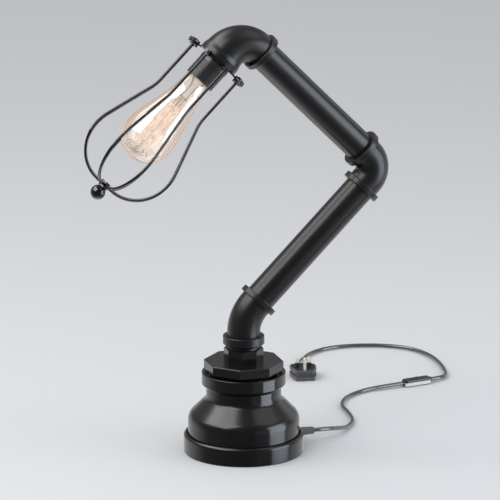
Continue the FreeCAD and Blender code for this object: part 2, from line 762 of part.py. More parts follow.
def lampholder():
    """A threaded skirt: a smooth collar, then ridges down to the mouth."""
    inner = size.holder_radius - size.holder_wall
    hole = size.nipple_radius + size.seat_fit
    outline = [(inner, core_top), (hole, core_top), (hole, ring_top),
               (size.holder_radius - 1, ring_top), (size.holder_radius, ring_top + 1, 1.0),
               (size.holder_radius, ring_top + size.holder_smooth)]
    ridges = int((size.holder_length - size.holder_smooth).value / size.ridge_pitch.value)
    for ridge in range(ridges):
        start = ring_top + size.holder_smooth + size.ridge_pitch * ridge
        outline += [(size.holder_radius - size.ridge_depth, start + size.ridge_pitch * 0.25),
                    (size.holder_radius - size.ridge_depth, start + size.ridge_pitch * 0.45),
                    (size.holder_radius, start + size.ridge_pitch * 0.7),
                    (size.holder_radius, start + size.ridge_pitch)]
    outline += [(size.holder_radius - 0.5, holder_end), (inner, holder_end)]
    return turned("lampholder_shell", outline, on_head)


def holder_core():
    """The porcelain block that carries the contacts."""
    reach = size.holder_radius - size.holder_wall - size.seat_fit
    return turned("lampholder_core", [
        (size.nipple_bore, core_top), (reach, core_top),
        (reach, core_top + size.core_thickness),
        (size.nipple_bore, core_top + size.core_thickness)], on_head)


def thread_liner():
    low = core_top + size.core_thickness
    inner = size.liner_radius - size.liner_wall
    return turned("thread_liner", [(inner, low), (size.liner_radius + 2.4, low),
                                   (size.liner_radius + 2.4, low + 0.6),
                                   (size.liner_radius, low + 0.6),
                                   (size.liner_radius, holder_end - 7),
                                   (inner, holder_end - 7)], on_head)


button_end = core_top + size.core_thickness + 0.8


def centre_contact():
    low = core_top + size.core_thickness
    return turned("centre_contact", [(0, low), (size.nipple_bore + 1, low),
                                     (size.nipple_bore + 1, low + 0.4), (2, button_end),
                                     (0, button_end)], on_head)


cap_rim = size.bulb_foot - 3
glass_foot = cap_rim - 6
CAP_SKIN = 0.5


def bulb_cap():
    """The metal screw cap, with its insulator and its contact button."""
    return turned("bulb_cap", [
        (0, button_end), (2.4, button_end), (4.6, button_end + 1),
        (size.cap_radius - 3, button_end + 3.4), (size.cap_radius, button_end + 4.4),
        (size.cap_radius, cap_rim), (size.cap_radius - CAP_SKIN, cap_rim),
        (size.cap_radius - CAP_SKIN, button_end + 5), (0, button_end + 5)], on_head)


def glass_outline(skin):
    """Half of the bulb's outline from tip to foot, drawn skin inside the outer surface."""
    centre = size.bulb_tip - size.bulb_radius
    shoulder, flank = size.bulb_shoulder, size.bulb_flank
    upper, lower = size.bulb_slope, size.neck_slope
    belly = size.bulb_radius - skin
    shoulder_centre = size.bulb_radius - shoulder
    slope_top = (shoulder_centre + (shoulder - skin) * cosine(upper),
                 centre - (shoulder - skin) * sine(upper))
    bend = (slope_top[0] - size.bulb_run * sine(upper),
            slope_top[1] - size.bulb_run * cosine(upper))
    flank_centre = (bend[0] + (flank + skin) * cosine(upper),
                    bend[1] - (flank + skin) * sine(upper))
    neck_top = (flank_centre[0] - (flank + skin) * cosine(lower),
                flank_centre[1] + (flank + skin) * sine(lower))
    neck_run = (neck_top[1] - size.bulb_foot) / cosine(lower)
    neck = (neck_top[0] - neck_run * sine(lower), size.bulb_foot)
    foot = size.cap_radius - CAP_SKIN - size.seat_fit - skin
    return [(0, size.bulb_tip - skin), (belly, centre, -belly), slope_top + (skin - shoulder,),
            bend, neck_top + (flank + skin,), neck, (foot, cap_rim), (foot, glass_foot)]


def bulb_glass():
    body = start_body("bulb_glass")
    outer = glass_outline(as_size(0))
    inner = glass_outline(size.glass_skin)
    back = [inner[-1]]
    for point, following in zip(inner[-2::-1], inner[:0:-1]):
        back.append(point[:2] + tuple(-bend for bend in following[2:]))
    revolve(body, outer + back)
    on_head(body)
    return keep("bulb_glass", body)


def bulb_stem():
    """The glass stem, and the thin rod that goes on from it to the star of hooks."""
    stem, rod, star = size.stem_radius, size.rod_radius, size.star_level
    foot = size.cap_radius - 4
    return turned("bulb_stem", [
        (0, button_end + 5), (foot, button_end + 5), (foot, size.bulb_foot),
        (stem + 0.8, size.bulb_foot + 9), (stem, size.crown_level - 9.5),
        (stem + 0.7, size.crown_level - 3.5), (stem - 1, size.stem_top),
        (rod, size.stem_top + 3), (rod, star - 1), (rod + 0.9, star + 1),
        (rod, star + 3), (0, star + 3)], on_head)


def round_point(radius, turn, level):
    """A point at a fraction of a full turn about the Z axis."""
    angle = 2 * math.pi * turn
    return Vector(radius * math.cos(angle), radius * math.sin(angle), level)


def wires_through(points, wire):
    """Straight round wires through the points, with a ball at each end of each."""
    pieces = [Part.makeSphere(wire, point) for point in points]
    for start, end in zip(points, points[1:]):
        pieces.append(Part.makeCylinder(wire, (end - start).Length, start, end - start))
    return pieces


def filament():
    """A squirrel cage: strands that run between two crowns of hooks, held by a star of wires."""
    turns = int(size.filament_turns.value)
    wire = size.filament_wire.value
    low, high = size.crown_level.value, size.hook_level.value
    inner, outer = size.crown_radius.value, size.hook_radius.value
    star = size.star_level.value
    zigzag = []
    for turn in range(turns):
        zigzag += [round_point(inner, turn / turns, low),
                   round_point(outer, (turn + 0.5) / turns, high)]
    pieces = wires_through(zigzag + zigzag[:1], wire)
    for turn in range(turns):
        middle = (turn + 0.5) / turns
        pieces += wires_through([round_point(0, middle, star),
                                 round_point(outer + 1, middle, star),
                                 round_point(outer, middle, high)], wire)
    pieces += wires_through([Vector(0, 0, low), Vector(inner, 0, low)], wire)
    whole = pieces[0].multiFuse(pieces[1:])
    doc.recompute()
    glass = nodes["bulb_stem"].Shape.copy()
    glass.Placement = Placement()
    return keep_shape("bulb_filament", whole.cut(glass), on_head)


# ---------------------------------------------------------------- cage

STUD_RADIUS = 2.0
lug_inner = size.cage_plate_radius - size.lug_depth
bolt_level = size.head_end + size.cage_plate / 2
eyelet_end = size.cage_waist * 2 - size.cage_plate_radius


def at_lug(radius, length, start):
    """A cylinder along +X at the height of the bolts."""
    return Part.makeCylinder(radius, length, Vector(start, 0, bolt_level.value), Vector(1, 0, 0))


def cage_plate():
    """The ring that the lampholder clamps, with a lug for each wire."""
    ring = Part.makeCylinder(lug_inner.value + 1, size.cage_plate.value,
                             Vector(0, 0, size.head_end.value))
    width, depth = size.lug_width.value, size.lug_depth.value
    lug = Part.makeBox(depth, width, width, Vector(lug_inner.value, -width / 2,
                                                   bolt_level.value - width / 2))
    lug = lug.makeFillet(0.6, lug.Edges)
    ring = ring.fuse(around(lug, CAGE_WIRES, size.cage_twist.value).Solids)
    hole = Part.makeCylinder(size.cage_plate_hole.value, 20,
                             Vector(0, 0, size.head_end.value - 5))
    bores = around(at_lug(STUD_RADIUS + size.seat_fit.value, 12, lug_inner.value), CAGE_WIRES,
                   size.cage_twist.value)
    return keep_shape("cage_ring", ring.cut([hole] + bores.Solids), on_head)


def cage_wire(number):
    """One wire: an eyelet at the lug, a straight waist, a flare, a belly and a round end."""
    body = start_body("cage_wire_%d" % number)
    flare, bend = size.cage_flare, size.flare_radius
    side = size.hub_radius * cosine(180.0 / CAGE_WIRES)
    belly_level = size.cage_end - size.cage_sweep
    sweep_centre = size.cage_belly - size.cage_sweep
    flare_end = (size.cage_belly - bend * (1 - cosine(flare)), belly_level - bend * sine(flare))
    rise = bend * (1 - cosine(flare))
    run = (flare_end[0] - size.cage_waist - rise) / tangent(flare)
    flare_start = (size.cage_waist + rise, flare_end[1] - run)
    waist_end = (size.cage_waist, flare_start[1] - bend * sine(flare))
    top = bolt_level + size.eyelet_radius - 1
    path = [(size.cage_waist, top), waist_end, flare_start + (-bend,), flare_end,
            (size.cage_belly, belly_level, bend),
            (sweep_centre, size.cage_end, size.cage_sweep), (side, size.cage_end)]
    spine = add_sketch(body, "XZ_Plane")
    draw_outline(spine, path, closed=False)
    profile = add_sketch(body, "XY_Plane", top)
    draw_circle(profile, size.wire_radius, size.cage_waist)
    rod = body.newObject("PartDesign::AdditivePipe", "rod")
    rod.Profile = profile
    rod.Spine = spine
    raise_pad(body, circle_at(size.eyelet_radius, 0, bolt_level), size.cage_plate_radius,
              (size.cage_waist - size.cage_plate_radius) * 2, "YZ_Plane")
    cut_pocket(body, circle_at(STUD_RADIUS + size.seat_fit, 0, bolt_level), eyelet_end, 6,
               "YZ_Plane")
    seat(top_corner, lean - 180, size.cage_twist + 360.0 * number / CAGE_WIRES)(body)
    return keep("cage_wire_%d" % number, body)


def cage_studs():
    stud = at_lug(STUD_RADIUS, eyelet_end.value - lug_inner.value + 6.5, lug_inner.value)
    return keep_shape("cage_studs", around(stud, CAGE_WIRES, size.cage_twist.value), on_head)


def cage_nuts():
    """Square nuts that clamp the wires' eyelets to the lugs."""
    side = 6.6
    nut = Part.makeBox(3.2, side, side, Vector(eyelet_end.value, -side / 2,
                                               bolt_level.value - side / 2))
    nut = nut.makeFillet(0.5, nut.Edges)
    nut = nut.cut(at_lug(STUD_RADIUS + size.seat_fit.value, 10, eyelet_end.value - 2))
    return keep_shape("cage_nuts", around(nut, CAGE_WIRES, size.cage_twist.value), on_head)


def cage_hub():
    """The block where the wires meet, with a side for each of them."""
    body = start_body("cage_hub")
    corners = regular_outline(size.hub_radius, CAGE_WIRES,
                              size.cage_twist + 180.0 / CAGE_WIRES)
    raise_pad(body, outline_of(corners), size.cage_end - size.hub_length / 2, size.hub_length)
    on_head(body)
    return keep("cage_hub", body)


def cage_ball():
    flat = size.cage_end + size.hub_length / 2
    drop = size.ball_place - flat
    half_flat = Size(math.sqrt(size.ball_radius.value ** 2 - drop.value ** 2),
                     "sqrt(%s * %s - %s * %s)" % ((size.ball_radius.formula,) * 2
                                                  + (drop.formula,) * 2))
    return turned("cage_ball", [(0, flat), (half_flat, flat),
                                (size.ball_radius, size.ball_place, size.ball_radius),
                                (0, size.ball_place + size.ball_radius, size.ball_radius)],
                  on_head)


# ---------------------------------------------------------------- flex inside the lamp

along_lower_arm = (sine(lean), 0, cosine(lean))
along_upper_arm = (-cosine(lean), 0, sine(lean))
along_head = (-sine(lean), 0, -cosine(lean))
FLEX_SPLIT = 35.0


def arm_point(corner, direction, distance):
    return tuple(start + part * distance for start, part in zip(corner, direction))


def inner_flexes():
    """The flex runs down the middle of every joint, and each moving arm carries its own length."""
    half_gap = size.running_gap / 2
    foot = size.corner_height - FLEX_SPLIT + 2
    lower_split = size.lower_reach - FLEX_SPLIT
    upper_split = size.upper_reach - FLEX_SPLIT
    joint_below = arm_point(lower_corner, along_lower_arm, lower_split - half_gap)
    joint_above = arm_point(lower_corner, along_lower_arm, lower_split + half_gap)
    head_below = arm_point(middle_corner, along_upper_arm, upper_split - half_gap)
    head_above = arm_point(middle_corner, along_upper_arm, upper_split + half_gap)
    routes = {
        "base_flex": [(size.gland_reach, 0, size.cord_height), (20, 0, size.cord_height),
                      (0, 0, size.wall_top + 5), (0, 0, foot - half_gap)],
        "lower_arm_flex": [(0, 0, foot + half_gap), lower_corner, joint_below],
        "upper_arm_flex": [joint_above, middle_corner, head_below],
        "head_flex": [head_above, top_corner, arm_point(top_corner, along_head, core_top)],
    }
    for name, route in routes.items():
        keep_shape(name, along_route(route, size.flex_radius.value))


# ---------------------------------------------------------------- lead and its switch

on_switch = seat((size.switch_x, size.switch_y, 0), 0, size.switch_turn)
rocker_pivot = size.switch_height - size.rocker_depth
SWITCH_SCREW_PLACE = 14.3
SWITCH_SCREW_RADIUS = 0.9


def leads():
    keep_shape("lead_to_switch", along_route(LEAD_TO_SWITCH, size.cord_radius.value))
    keep_shape("lead_to_plug", along_route(LEAD_TO_PLUG, size.cord_radius.value))


def screw_holes(sketch):
    for side in (-SWITCH_SCREW_PLACE, SWITCH_SCREW_PLACE):
        draw_circle(sketch, SWITCH_SCREW_RADIUS + size.seat_fit, side)


def screw_posts(sketch):
    for side in (-SWITCH_SCREW_PLACE, SWITCH_SCREW_PLACE):
        draw_circle(sketch, SWITCH_SCREW_RADIUS + size.switch_wall, side)


def switch_base():
    body = start_body("switch_base")
    wall = size.switch_wall
    raise_pad(body, outline_of(rounded_rectangle(size.switch_length, size.switch_width,
                                                 size.switch_corner)), 0, size.switch_split)
    round_edges(body, 0.8, lambda middle: middle.z < 0.01)
    cut_pocket(body, outline_of(rounded_rectangle(size.switch_length - wall * 2,
                                                  size.switch_width - wall * 2,
                                                  size.switch_corner - wall)),
               size.switch_split, size.switch_split - wall)
    raise_pad(body, screw_posts, wall, size.switch_split - wall)
    cut_pocket(body, screw_holes, 0, size.switch_split, upwards=True)
    on_switch(body)
    return keep("switch_base", body)


def switch_cover():
    body = start_body("switch_cover")
    height = size.switch_height
    raise_pad(body, outline_of(rounded_rectangle(size.switch_length, size.switch_width,
                                                 size.switch_corner)), size.switch_split,
              height - size.switch_split)
    round_edges(body, 1.2, lambda middle: middle.z > height.value - 0.01)
    cut_pocket(body, outline_of(rectangle(size.rocker_length, size.rocker_width,
                                          size.rocker_place)), height,
               height - size.switch_split)
    reach = size.rocker_width / 2 + size.switch_wall
    cut_pocket(body, circle_at(size.rocker_pin + size.turning_fit, size.rocker_place,
                               rocker_pivot), reach, reach * 2, "XZ_Plane")
    cut_pocket(body, screw_holes, size.switch_split, 2.2, upwards=True)
    on_switch(body)
    return keep("switch_cover", body)


def switch_rocker():
    """A rocker with a shallow V top, held by two pins and tipped one way at rest."""
    body = start_body("switch_rocker")
    half_length = size.rocker_length / 2 - size.running_gap * 2
    half_width = size.rocker_width / 2 - size.running_gap
    middle = size.rocker_depth + 0.3
    wing = middle + half_length * tangent(size.rocker_tilt)
    raise_pad(body, outline_of([(-half_length, -1.2), (half_length, -1.2), (half_length, wing),
                                (0, middle), (-half_length, wing)]),
              -half_width, half_width * 2, "XZ_Plane", size.rocker_tilt)
    reach = size.rocker_width / 2 + size.switch_wall - size.running_gap
    raise_pad(body, circle_at(size.rocker_pin), -reach, reach * 2, "XZ_Plane")
    across = size.rocker_place
    seat((size.switch_x + across * cosine(size.switch_turn),
          size.switch_y + across * sine(size.switch_turn), rocker_pivot), 0,
         size.switch_turn)(body)
    return keep("switch_rocker", body)


def switch_small_parts():
    """Collars where the lead enters, brass terminals, and the screws that hold the cover."""
    end = size.switch_length.value / 2
    level = size.switch_height.value / 2
    collar = Part.makeCylinder(3.9, 2.0, Vector(end, 0, level), Vector(1, 0, 0))
    collar = collar.cut(Part.makeCylinder(size.cord_radius.value + 0.2, 4,
                                          Vector(end - 1, 0, level), Vector(1, 0, 0)))
    keep_shape("switch_collars", around(collar, 2), on_switch)
    wall = size.switch_wall.value
    block = Part.makeBox(5, 5, 2.6, Vector(7, -2.5, wall))
    screw = Part.makeCylinder(1.2, 0.8, Vector(9.5, 0, wall + 2.6))
    keep_shape("switch_terminals", around(block.fuse(screw), 2), on_switch)
    shank = Part.makeCylinder(SWITCH_SCREW_RADIUS, size.switch_split.value + 2.0,
                              Vector(SWITCH_SCREW_PLACE, 0, 0))
    slot = Part.makeBox(3, 0.4, 0.4, Vector(SWITCH_SCREW_PLACE - 1.5, -0.2, 0))
    keep_shape("switch_screws", around(shank.cut(slot), 2), on_switch)


# ---------------------------------------------------------------- plug

on_plug = seat((size.plug_x, size.plug_y, 0), 0, size.plug_turn)
pin_line = size.plug_length / 2 - size.pin_setback
earth_line = pin_line - size.pin_row
PLUG_SCREW_RADIUS = 1.0
PLUG_SCREW_PLACE = -2.5
face_level = size.plug_height - size.plug_recess


def plug_outline(inset):
    """Seen from above: a flat end for the lead, bowed flanks and a narrower nose."""
    half = size.plug_width / 2 - inset
    nose = size.plug_nose / 2 - inset
    end = size.plug_length / 2 - inset
    corner = size.plug_corner - inset
    run = end + end - corner
    bow = ((half - nose) * (half - nose) + run * run) / ((half - nose) * 2)
    return [(-nose, -end, bow), (nose, -end), (half, end - corner, bow),
            (half - corner, end, corner), (corner - half, end), (-half, end - corner, corner)]


def plug_shell(name, layers, edges):
    body = start_body(name)
    for inset, low, high in layers:
        raise_pad(body, outline_of(plug_outline(inset)), low, high - low)
    nose = -size.plug_length.value / 2
    round_edges(body, 3.0, lambda middle: middle.y < nose + 3.5 and abs(middle.x) > 6
                and edges[0] < middle.z < edges[1])
    return body


def plug_back():
    body = plug_shell("plug_back", [(as_size(0), as_size(0), size.plug_split)],
                      (0.5, size.plug_split.value - 0.5))
    round_edges(body, 1.5, lambda middle: middle.z < 0.01)
    cut_pocket(body, circle_at(PLUG_SCREW_RADIUS + size.seat_fit, 0, PLUG_SCREW_PLACE),
               size.plug_split, 3)
    on_plug(body)
    return keep("plug_back", body)


def pin_slots(sketch):
    fit = size.seat_fit * 2
    draw_outline(sketch, rectangle(size.pin_width + fit, size.earth_length + fit, 0, earth_line))
    for side in (-size.pin_spread / 2, size.pin_spread / 2):
        draw_outline(sketch, rectangle(size.live_length + fit, size.pin_width + fit, side,
                                       pin_line))


def plug_face():
    """The front half: a waist for the fingers, and a rim round the sunk face with the pins."""
    flange_low = size.plug_height - size.plug_flange
    body = plug_shell("plug_face", [(size.plug_waist, size.plug_split, flange_low),
                                    (as_size(0), flange_low, size.plug_height)],
                      (flange_low.value + 0.5, size.plug_height.value - 0.5))
    round_edges(body, 1.0, lambda middle: middle.z > size.plug_height.value - 0.01)
    cut_pocket(body, outline_of(plug_outline(size.plug_rim)), size.plug_height,
               size.plug_recess)
    cut_pocket(body, outline_of(plug_outline(size.plug_waist + size.plug_wall)),
               size.plug_split, flange_low - size.plug_split, upwards=True)
    cut_pocket(body, pin_slots, size.plug_height, size.plug_flange)
    cut_pocket(body, circle_at(PLUG_SCREW_RADIUS + size.seat_fit, 0, PLUG_SCREW_PLACE),
               size.plug_height, size.plug_flange)
    cut_pocket(body, circle_at(PLUG_SCREW_RADIUS * 2, 0, PLUG_SCREW_PLACE), face_level, 1.4)
    on_plug(body)
    return keep("plug_face", body)


def plug_pin(name, width, length, across, up, height):
    body = start_body(name)
    top = size.plug_height + height
    raise_pad(body, outline_of(rectangle(width, length, across, up)), size.plug_split,
              top - size.plug_split)
    round_edges(body, 0.8, lambda middle: middle.z > top.value - 0.01)
    on_plug(body)
    return keep(name, body)


def pin_sleeves():
    """Insulation round the root of the live and neutral pins."""
    fit = 0.02
    skin, low = 0.35, face_level.value
    reach = size.plug_recess.value + 5.2
    width, depth = size.live_length.value, size.pin_width.value
    sleeves = []
    for side in (-0.5, 0.5):
        centre = Vector(side * size.pin_spread.value, pin_line.value, low)
        outer = Part.makeBox(width + skin * 2, depth + skin * 2, reach,
                             centre - Vector(width / 2 + skin, depth / 2 + skin, 0))
        inner = Part.makeBox(width + fit * 2, depth + fit * 2, reach,
                             centre - Vector(width / 2 + fit, depth / 2 + fit, 0))
        sleeves.append(outer.cut(inner))
    return keep_shape("pin_sleeves", Part.makeCompound(sleeves), on_plug)


def plug_screw():
    place = Vector(0, PLUG_SCREW_PLACE, face_level.value - 1.3)
    head = Part.makeCylinder(PLUG_SCREW_RADIUS * 1.9, 1.1, place)
    shank = Part.makeCylinder(PLUG_SCREW_RADIUS, place.z - size.plug_split.value + 2.6,
                              Vector(place.x, place.y, size.plug_split.value - 2.6))
    slot = Part.makeBox(5, 0.6, 0.6, place + Vector(-2.5, -0.3, 0.6))
    return keep_shape("plug_screw", head.fuse(shank).cut(slot), on_plug)


def plug_fuse():
    radius, length = 1.5, 12.0
    fuse = Part.makeCylinder(radius, length,
                             Vector(11.65, pin_line.value - 5.5, size.plug_split.value + radius),
                             Vector(0, 1, 0))
    return keep_shape("plug_fuse", fuse, on_plug)


def plug_guard():
    """The ribbed rubber sleeve where the lead enters the plug."""
    body = start_body("plug_cord_guard")
    start = size.plug_length / 2
    end = start + size.guard_length
    outline = [(0, start), (size.guard_radius, start)]
    ribs = 4
    for rib in range(ribs):
        low = start + size.guard_length * rib / ribs
        radius = size.guard_radius - 0.25 * rib
        outline += [(radius, low + size.guard_length * 0.6 / ribs),
                    (radius - 0.5, low + size.guard_length * 0.62 / ribs),
                    (radius - 0.5, low + size.guard_length * 0.98 / ribs),
                    (radius - 0.25, low + size.guard_length / ribs)]
    outline += [(0, end)]
    revolve(body, outline)
    lay = Rotation(Vector(0, 0, 1), size.plug_turn.value).multiply(
        Rotation(Vector(1, 0, 0), -90))
    body.Placement = Placement(Vector(size.plug_x.value, size.plug_y.value,
                                      size.plug_height.value / 2), lay)
    return keep("plug_cord_guard", body)


# ---------------------------------------------------------------- the whole lamp

def build_base():
    base_pad()
    base_casting()
    base_plate()
    ballast()
    flat_screws("plate_screws", size.screw_circle, 60, size.plate_thickness + 8)
    flat_screws("ballast_bolts", size.bolt_circle, 0,
                size.plate_thickness + size.ballast_thickness - 0.5)
    base_bush()
    swivel_bush()
    cord_gland()
    gland_nut()


def build_arms():
    lower_elbow()
    pipe("lower_pipe", size.lower_bend * tangent(lean / 2) + 0.4,
         size.lower_reach - size.middle_bend - 0.5, on_lower_arm)
    middle_elbow()
    pipe("upper_pipe", size.middle_bend + 0.3, size.upper_reach - size.top_bend * 0.77,
         on_upper_arm)
    top_elbow()


def build_head():
    for piece in (holder_adapter, nipple, nipple_nut, lampholder, holder_core, thread_liner,
                  centre_contact, bulb_cap, bulb_glass, bulb_stem, filament, cage_plate,
                  cage_studs, cage_nuts, cage_hub, cage_ball):
        piece()
    for number in range(CAGE_WIRES):
        cage_wire(number)


def build_lead():
    inner_flexes()
    leads()
    for piece in (switch_base, switch_cover, switch_rocker, switch_small_parts, plug_back,
                  plug_face, pin_sleeves, plug_screw, plug_fuse, plug_guard):
        piece()
    plug_pin("earth_pin", size.pin_width, size.earth_length, 0, earth_line, size.earth_height)
    plug_pin("live_pin", size.live_length, size.pin_width, size.pin_spread / 2, pin_line,
             size.live_height)
    plug_pin("neutral_pin", size.live_length, size.pin_width, -size.pin_spread / 2, pin_line,
             size.live_height)


build_base()
build_arms()
build_head()
build_lead()
doc.recompute()

for feature in doc.Objects:
    if {"Invalid", "Error"} & set(feature.State):
        raise RuntimeError("%s is not up to date" % feature.Label)
for name, item in nodes.items():
    if item.Shape.isNull() or not item.Shape.isValid():
        raise RuntimeError("%s has no valid shape" % name)

os.makedirs("parts", exist_ok=True)
for name, item in nodes.items():
    item.Shape.exportStep("parts/%s.step" % name)
print("wrote %d sub-parts" % len(nodes))
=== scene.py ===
# %% [markdown] # A table lamp made of pipe fittings  This lesson dresses a finished CAD model.

# %% Load the frame
import json
import math

import bmesh
import bpy
from mathutils import Matrix, Vector


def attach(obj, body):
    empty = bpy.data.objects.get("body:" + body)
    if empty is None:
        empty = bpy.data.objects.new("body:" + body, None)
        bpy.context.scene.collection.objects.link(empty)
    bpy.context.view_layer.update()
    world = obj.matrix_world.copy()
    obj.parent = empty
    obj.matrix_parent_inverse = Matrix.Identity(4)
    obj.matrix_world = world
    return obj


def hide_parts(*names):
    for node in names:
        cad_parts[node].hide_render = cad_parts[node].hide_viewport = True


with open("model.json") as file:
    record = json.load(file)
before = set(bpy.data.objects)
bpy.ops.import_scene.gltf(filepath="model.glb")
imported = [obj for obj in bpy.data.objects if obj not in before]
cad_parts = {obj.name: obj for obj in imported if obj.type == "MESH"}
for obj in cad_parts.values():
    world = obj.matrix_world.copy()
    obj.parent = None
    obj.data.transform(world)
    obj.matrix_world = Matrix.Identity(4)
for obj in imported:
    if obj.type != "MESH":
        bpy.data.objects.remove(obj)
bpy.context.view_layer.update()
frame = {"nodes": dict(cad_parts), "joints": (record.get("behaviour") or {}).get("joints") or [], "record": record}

nodes = frame["nodes"]

# %% [markdown]
# ## The camera
#
# A long lens from far away keeps the pipes almost parallel. The camera is placed from an
# azimuth, an elevation and a distance, which is easier to reason about than three angles of a
# rotation: its own right, up and back directions become the columns of its matrix.

# %% Camera
VIEW_AZIMUTH = math.radians(-18.55)
VIEW_ELEVATION = math.radians(15.123)
VIEW_DISTANCE = 5.56376
VIEW_LENS = 323.58
SENSOR_WIDTH = 36
CLIP_END = 50
AIM_ACROSS = 0.007878
AIM_HEIGHT = 0.258468

right = Vector((math.cos(VIEW_AZIMUTH), math.sin(VIEW_AZIMUTH), 0))
back = Vector((math.sin(VIEW_AZIMUTH) * math.cos(VIEW_ELEVATION),
               -math.cos(VIEW_AZIMUTH) * math.cos(VIEW_ELEVATION), math.sin(VIEW_ELEVATION)))
up = back.cross(right)
aim = right * AIM_ACROSS + Vector((0, 0, AIM_HEIGHT))


def columns(first, second, third, place):
    """The matrix whose axes are three directions and whose origin is a place."""
    matrix = Matrix((first, second, third)).transposed().to_4x4()
    matrix.translation = place
    return matrix


camera = bpy.data.objects.new("camera", bpy.data.cameras.new("camera"))
camera.data.lens = VIEW_LENS
camera.data.sensor_width = SENSOR_WIDTH
camera.data.clip_end = CLIP_END
camera.matrix_world = columns(right, up, back, aim + back * VIEW_DISTANCE)
bpy.context.scene.collection.objects.link(camera)
bpy.context.scene.camera = camera
bpy.context.scene.view_settings.view_transform = "Standard"
print("camera at", tuple(round(part, 3) for part in camera.location))

# %% [markdown]
# ## The mains lead
#
# A lead is a fixed length of something flexible that lies where it falls. The route is a short
# list of points, the same ones that the solid tube turns about, and a NURBS spline of order 3
# takes them as its control points, so the line is smooth and stays between their heights. The
# order and the endpoint flag are set after the points, because set before them they are lost.
# The cord's thickness is the radius of its points, under a bevel of one metre, because Blender
# adds that radius as it is when it measures the box of a curve.
#
# Two short helpers make the curve and its splines, and the wires in the bulb use them again.

# %% Lead
MM = 0.001
CORD_DIAMETER = 0.0055
LEAD_IN_LENGTH = 0.304
LEAD_OUT_LENGTH = 0.396
LEAD_TO_SWITCH = [
    (92.6, 0.0, 15.8), (110.0, 0.0, 15.8), (131.0, 16.0, 9.8), (150.0, 34.0, 3.4),
    (168.0, 60.0, 2.75), (174.0, 95.0, 2.75), (175.0, 128.0, 2.75), (192.0, 160.0, 2.75),
    (227.0, 183.0, 2.75), (258.07, 185.31, 4.5), (284.73, 189.53, 4.5),
]
LEAD_TO_PLUG = [
    (322.27, 195.47, 4.5), (340.05, 198.28, 4.5), (353.5, 213.0, 2.75), (361.5, 245.0, 2.75),
    (366.0, 282.0, 2.75), (363.5, 316.0, 2.75), (350.0, 348.5, 2.75), (319.0, 371.0, 2.75),
    (280.0, 383.0, 2.75), (243.0, 381.0, 2.75), (214.0, 364.0, 2.75), (196.0, 338.0, 3.6),
    (182.69, 318.24, 7.0), (179.41, 300.54, 7.0),
]
SWITCH_NODES = ("switch_base", "switch_cover", "switch_rocker", "switch_collars",
                "switch_terminals", "switch_screws")
PLUG_NODES = ("plug_back", "plug_face", "earth_pin", "live_pin", "neutral_pin", "pin_sleeves",
              "plug_screw", "plug_fuse", "plug_cord_guard")


def round_curve(name, bevel, sides, steps):
    """A curve with a round bevel and closed ends, still without a spline."""
    curve = bpy.data.curves.new(name, "CURVE")
    curve.dimensions = "3D"
    curve.bevel_depth = bevel
    curve.bevel_resolution = sides
    curve.resolution_u = steps
    curve.use_fill_caps = True
    return curve


def add_spline(curve, places, radius=1.0):
    """A smooth line with the places as its control points, radius times the bevel thick."""
    spline = curve.splines.new("NURBS")
    spline.points.add(len(places) - 1)
    for point, place in zip(spline.points, places):
        point.co = (*place, 1)
        point.radius = radius
    spline.order_u = 3
    spline.use_endpoint_u = True


def lead(name, route, node, **facts):
    """A round flex along a route, in place of the solid tube of the same route."""
    places = [tuple(part * MM for part in place) for place in route]
    curve = round_curve(name, bevel=1, sides=5, steps=16)
    add_spline(curve, places, CORD_DIAMETER / 2)
    piece = bpy.data.objects.new(name, curve)
    bpy.context.scene.collection.objects.link(piece)
    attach(piece, "base")
    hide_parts(node)
    return piece


lead_in = lead("lead_in", LEAD_TO_SWITCH, "lead_to_switch", length=LEAD_IN_LENGTH,
               far_end="fitting", with_pieces=[nodes[name] for name in SWITCH_NODES])
lead_out = lead("lead_out", LEAD_TO_PLUG, "lead_to_plug", length=LEAD_OUT_LENGTH,
                far_end="plug", with_pieces=[nodes[name] for name in PLUG_NODES])
print("lead: two lengths joined by the switch")

# %% [markdown]
# ## Maths on sockets
#
# A material is a net of nodes, and long nets are hard to read. Here one small class wraps an
# output socket and gives it the operators of plain maths, so `1 - mask` makes its own Math
# node. Each operator has its reflected form, for a number that stands on the left.

# %% Maths on sockets
class Value:
    """An output socket that plain maths can be written with."""

    def __init__(self, finish, socket):
        self.finish = finish
        self.socket = socket

    def maths(self, operation, *others):
        """A Math node that takes this value first."""
        return self.finish.add("ShaderNodeMath", {"operation": operation},
                               dict(enumerate((self,) + others)))

    def __add__(self, other):
        return self.maths("ADD", other)

    __radd__ = __add__

    def __mul__(self, other):
        return self.maths("MULTIPLY", other)

    __rmul__ = __mul__

    def __sub__(self, other):
        return self.maths("SUBTRACT", other)

    def __rsub__(self, other):
        return self * -1 + other

    def __pow__(self, other):
        return self.maths("POWER", other)

    def __rpow__(self, other):
        return self.finish.add("ShaderNodeMath", {"operation": "POWER"},
                               {"0": other, "1": self})


print("sockets can be added, subtracted, multiplied and raised")

# %% [markdown]
# ## A finish as a net of nodes
#
# A second class is the material itself. One method makes any node from its type, its settings
# and the values or links of its sockets, in that order. The last methods are the few patterns
# that every finish here is made of: noise, a grey mask, a mix of colours or shaders, and a bump.

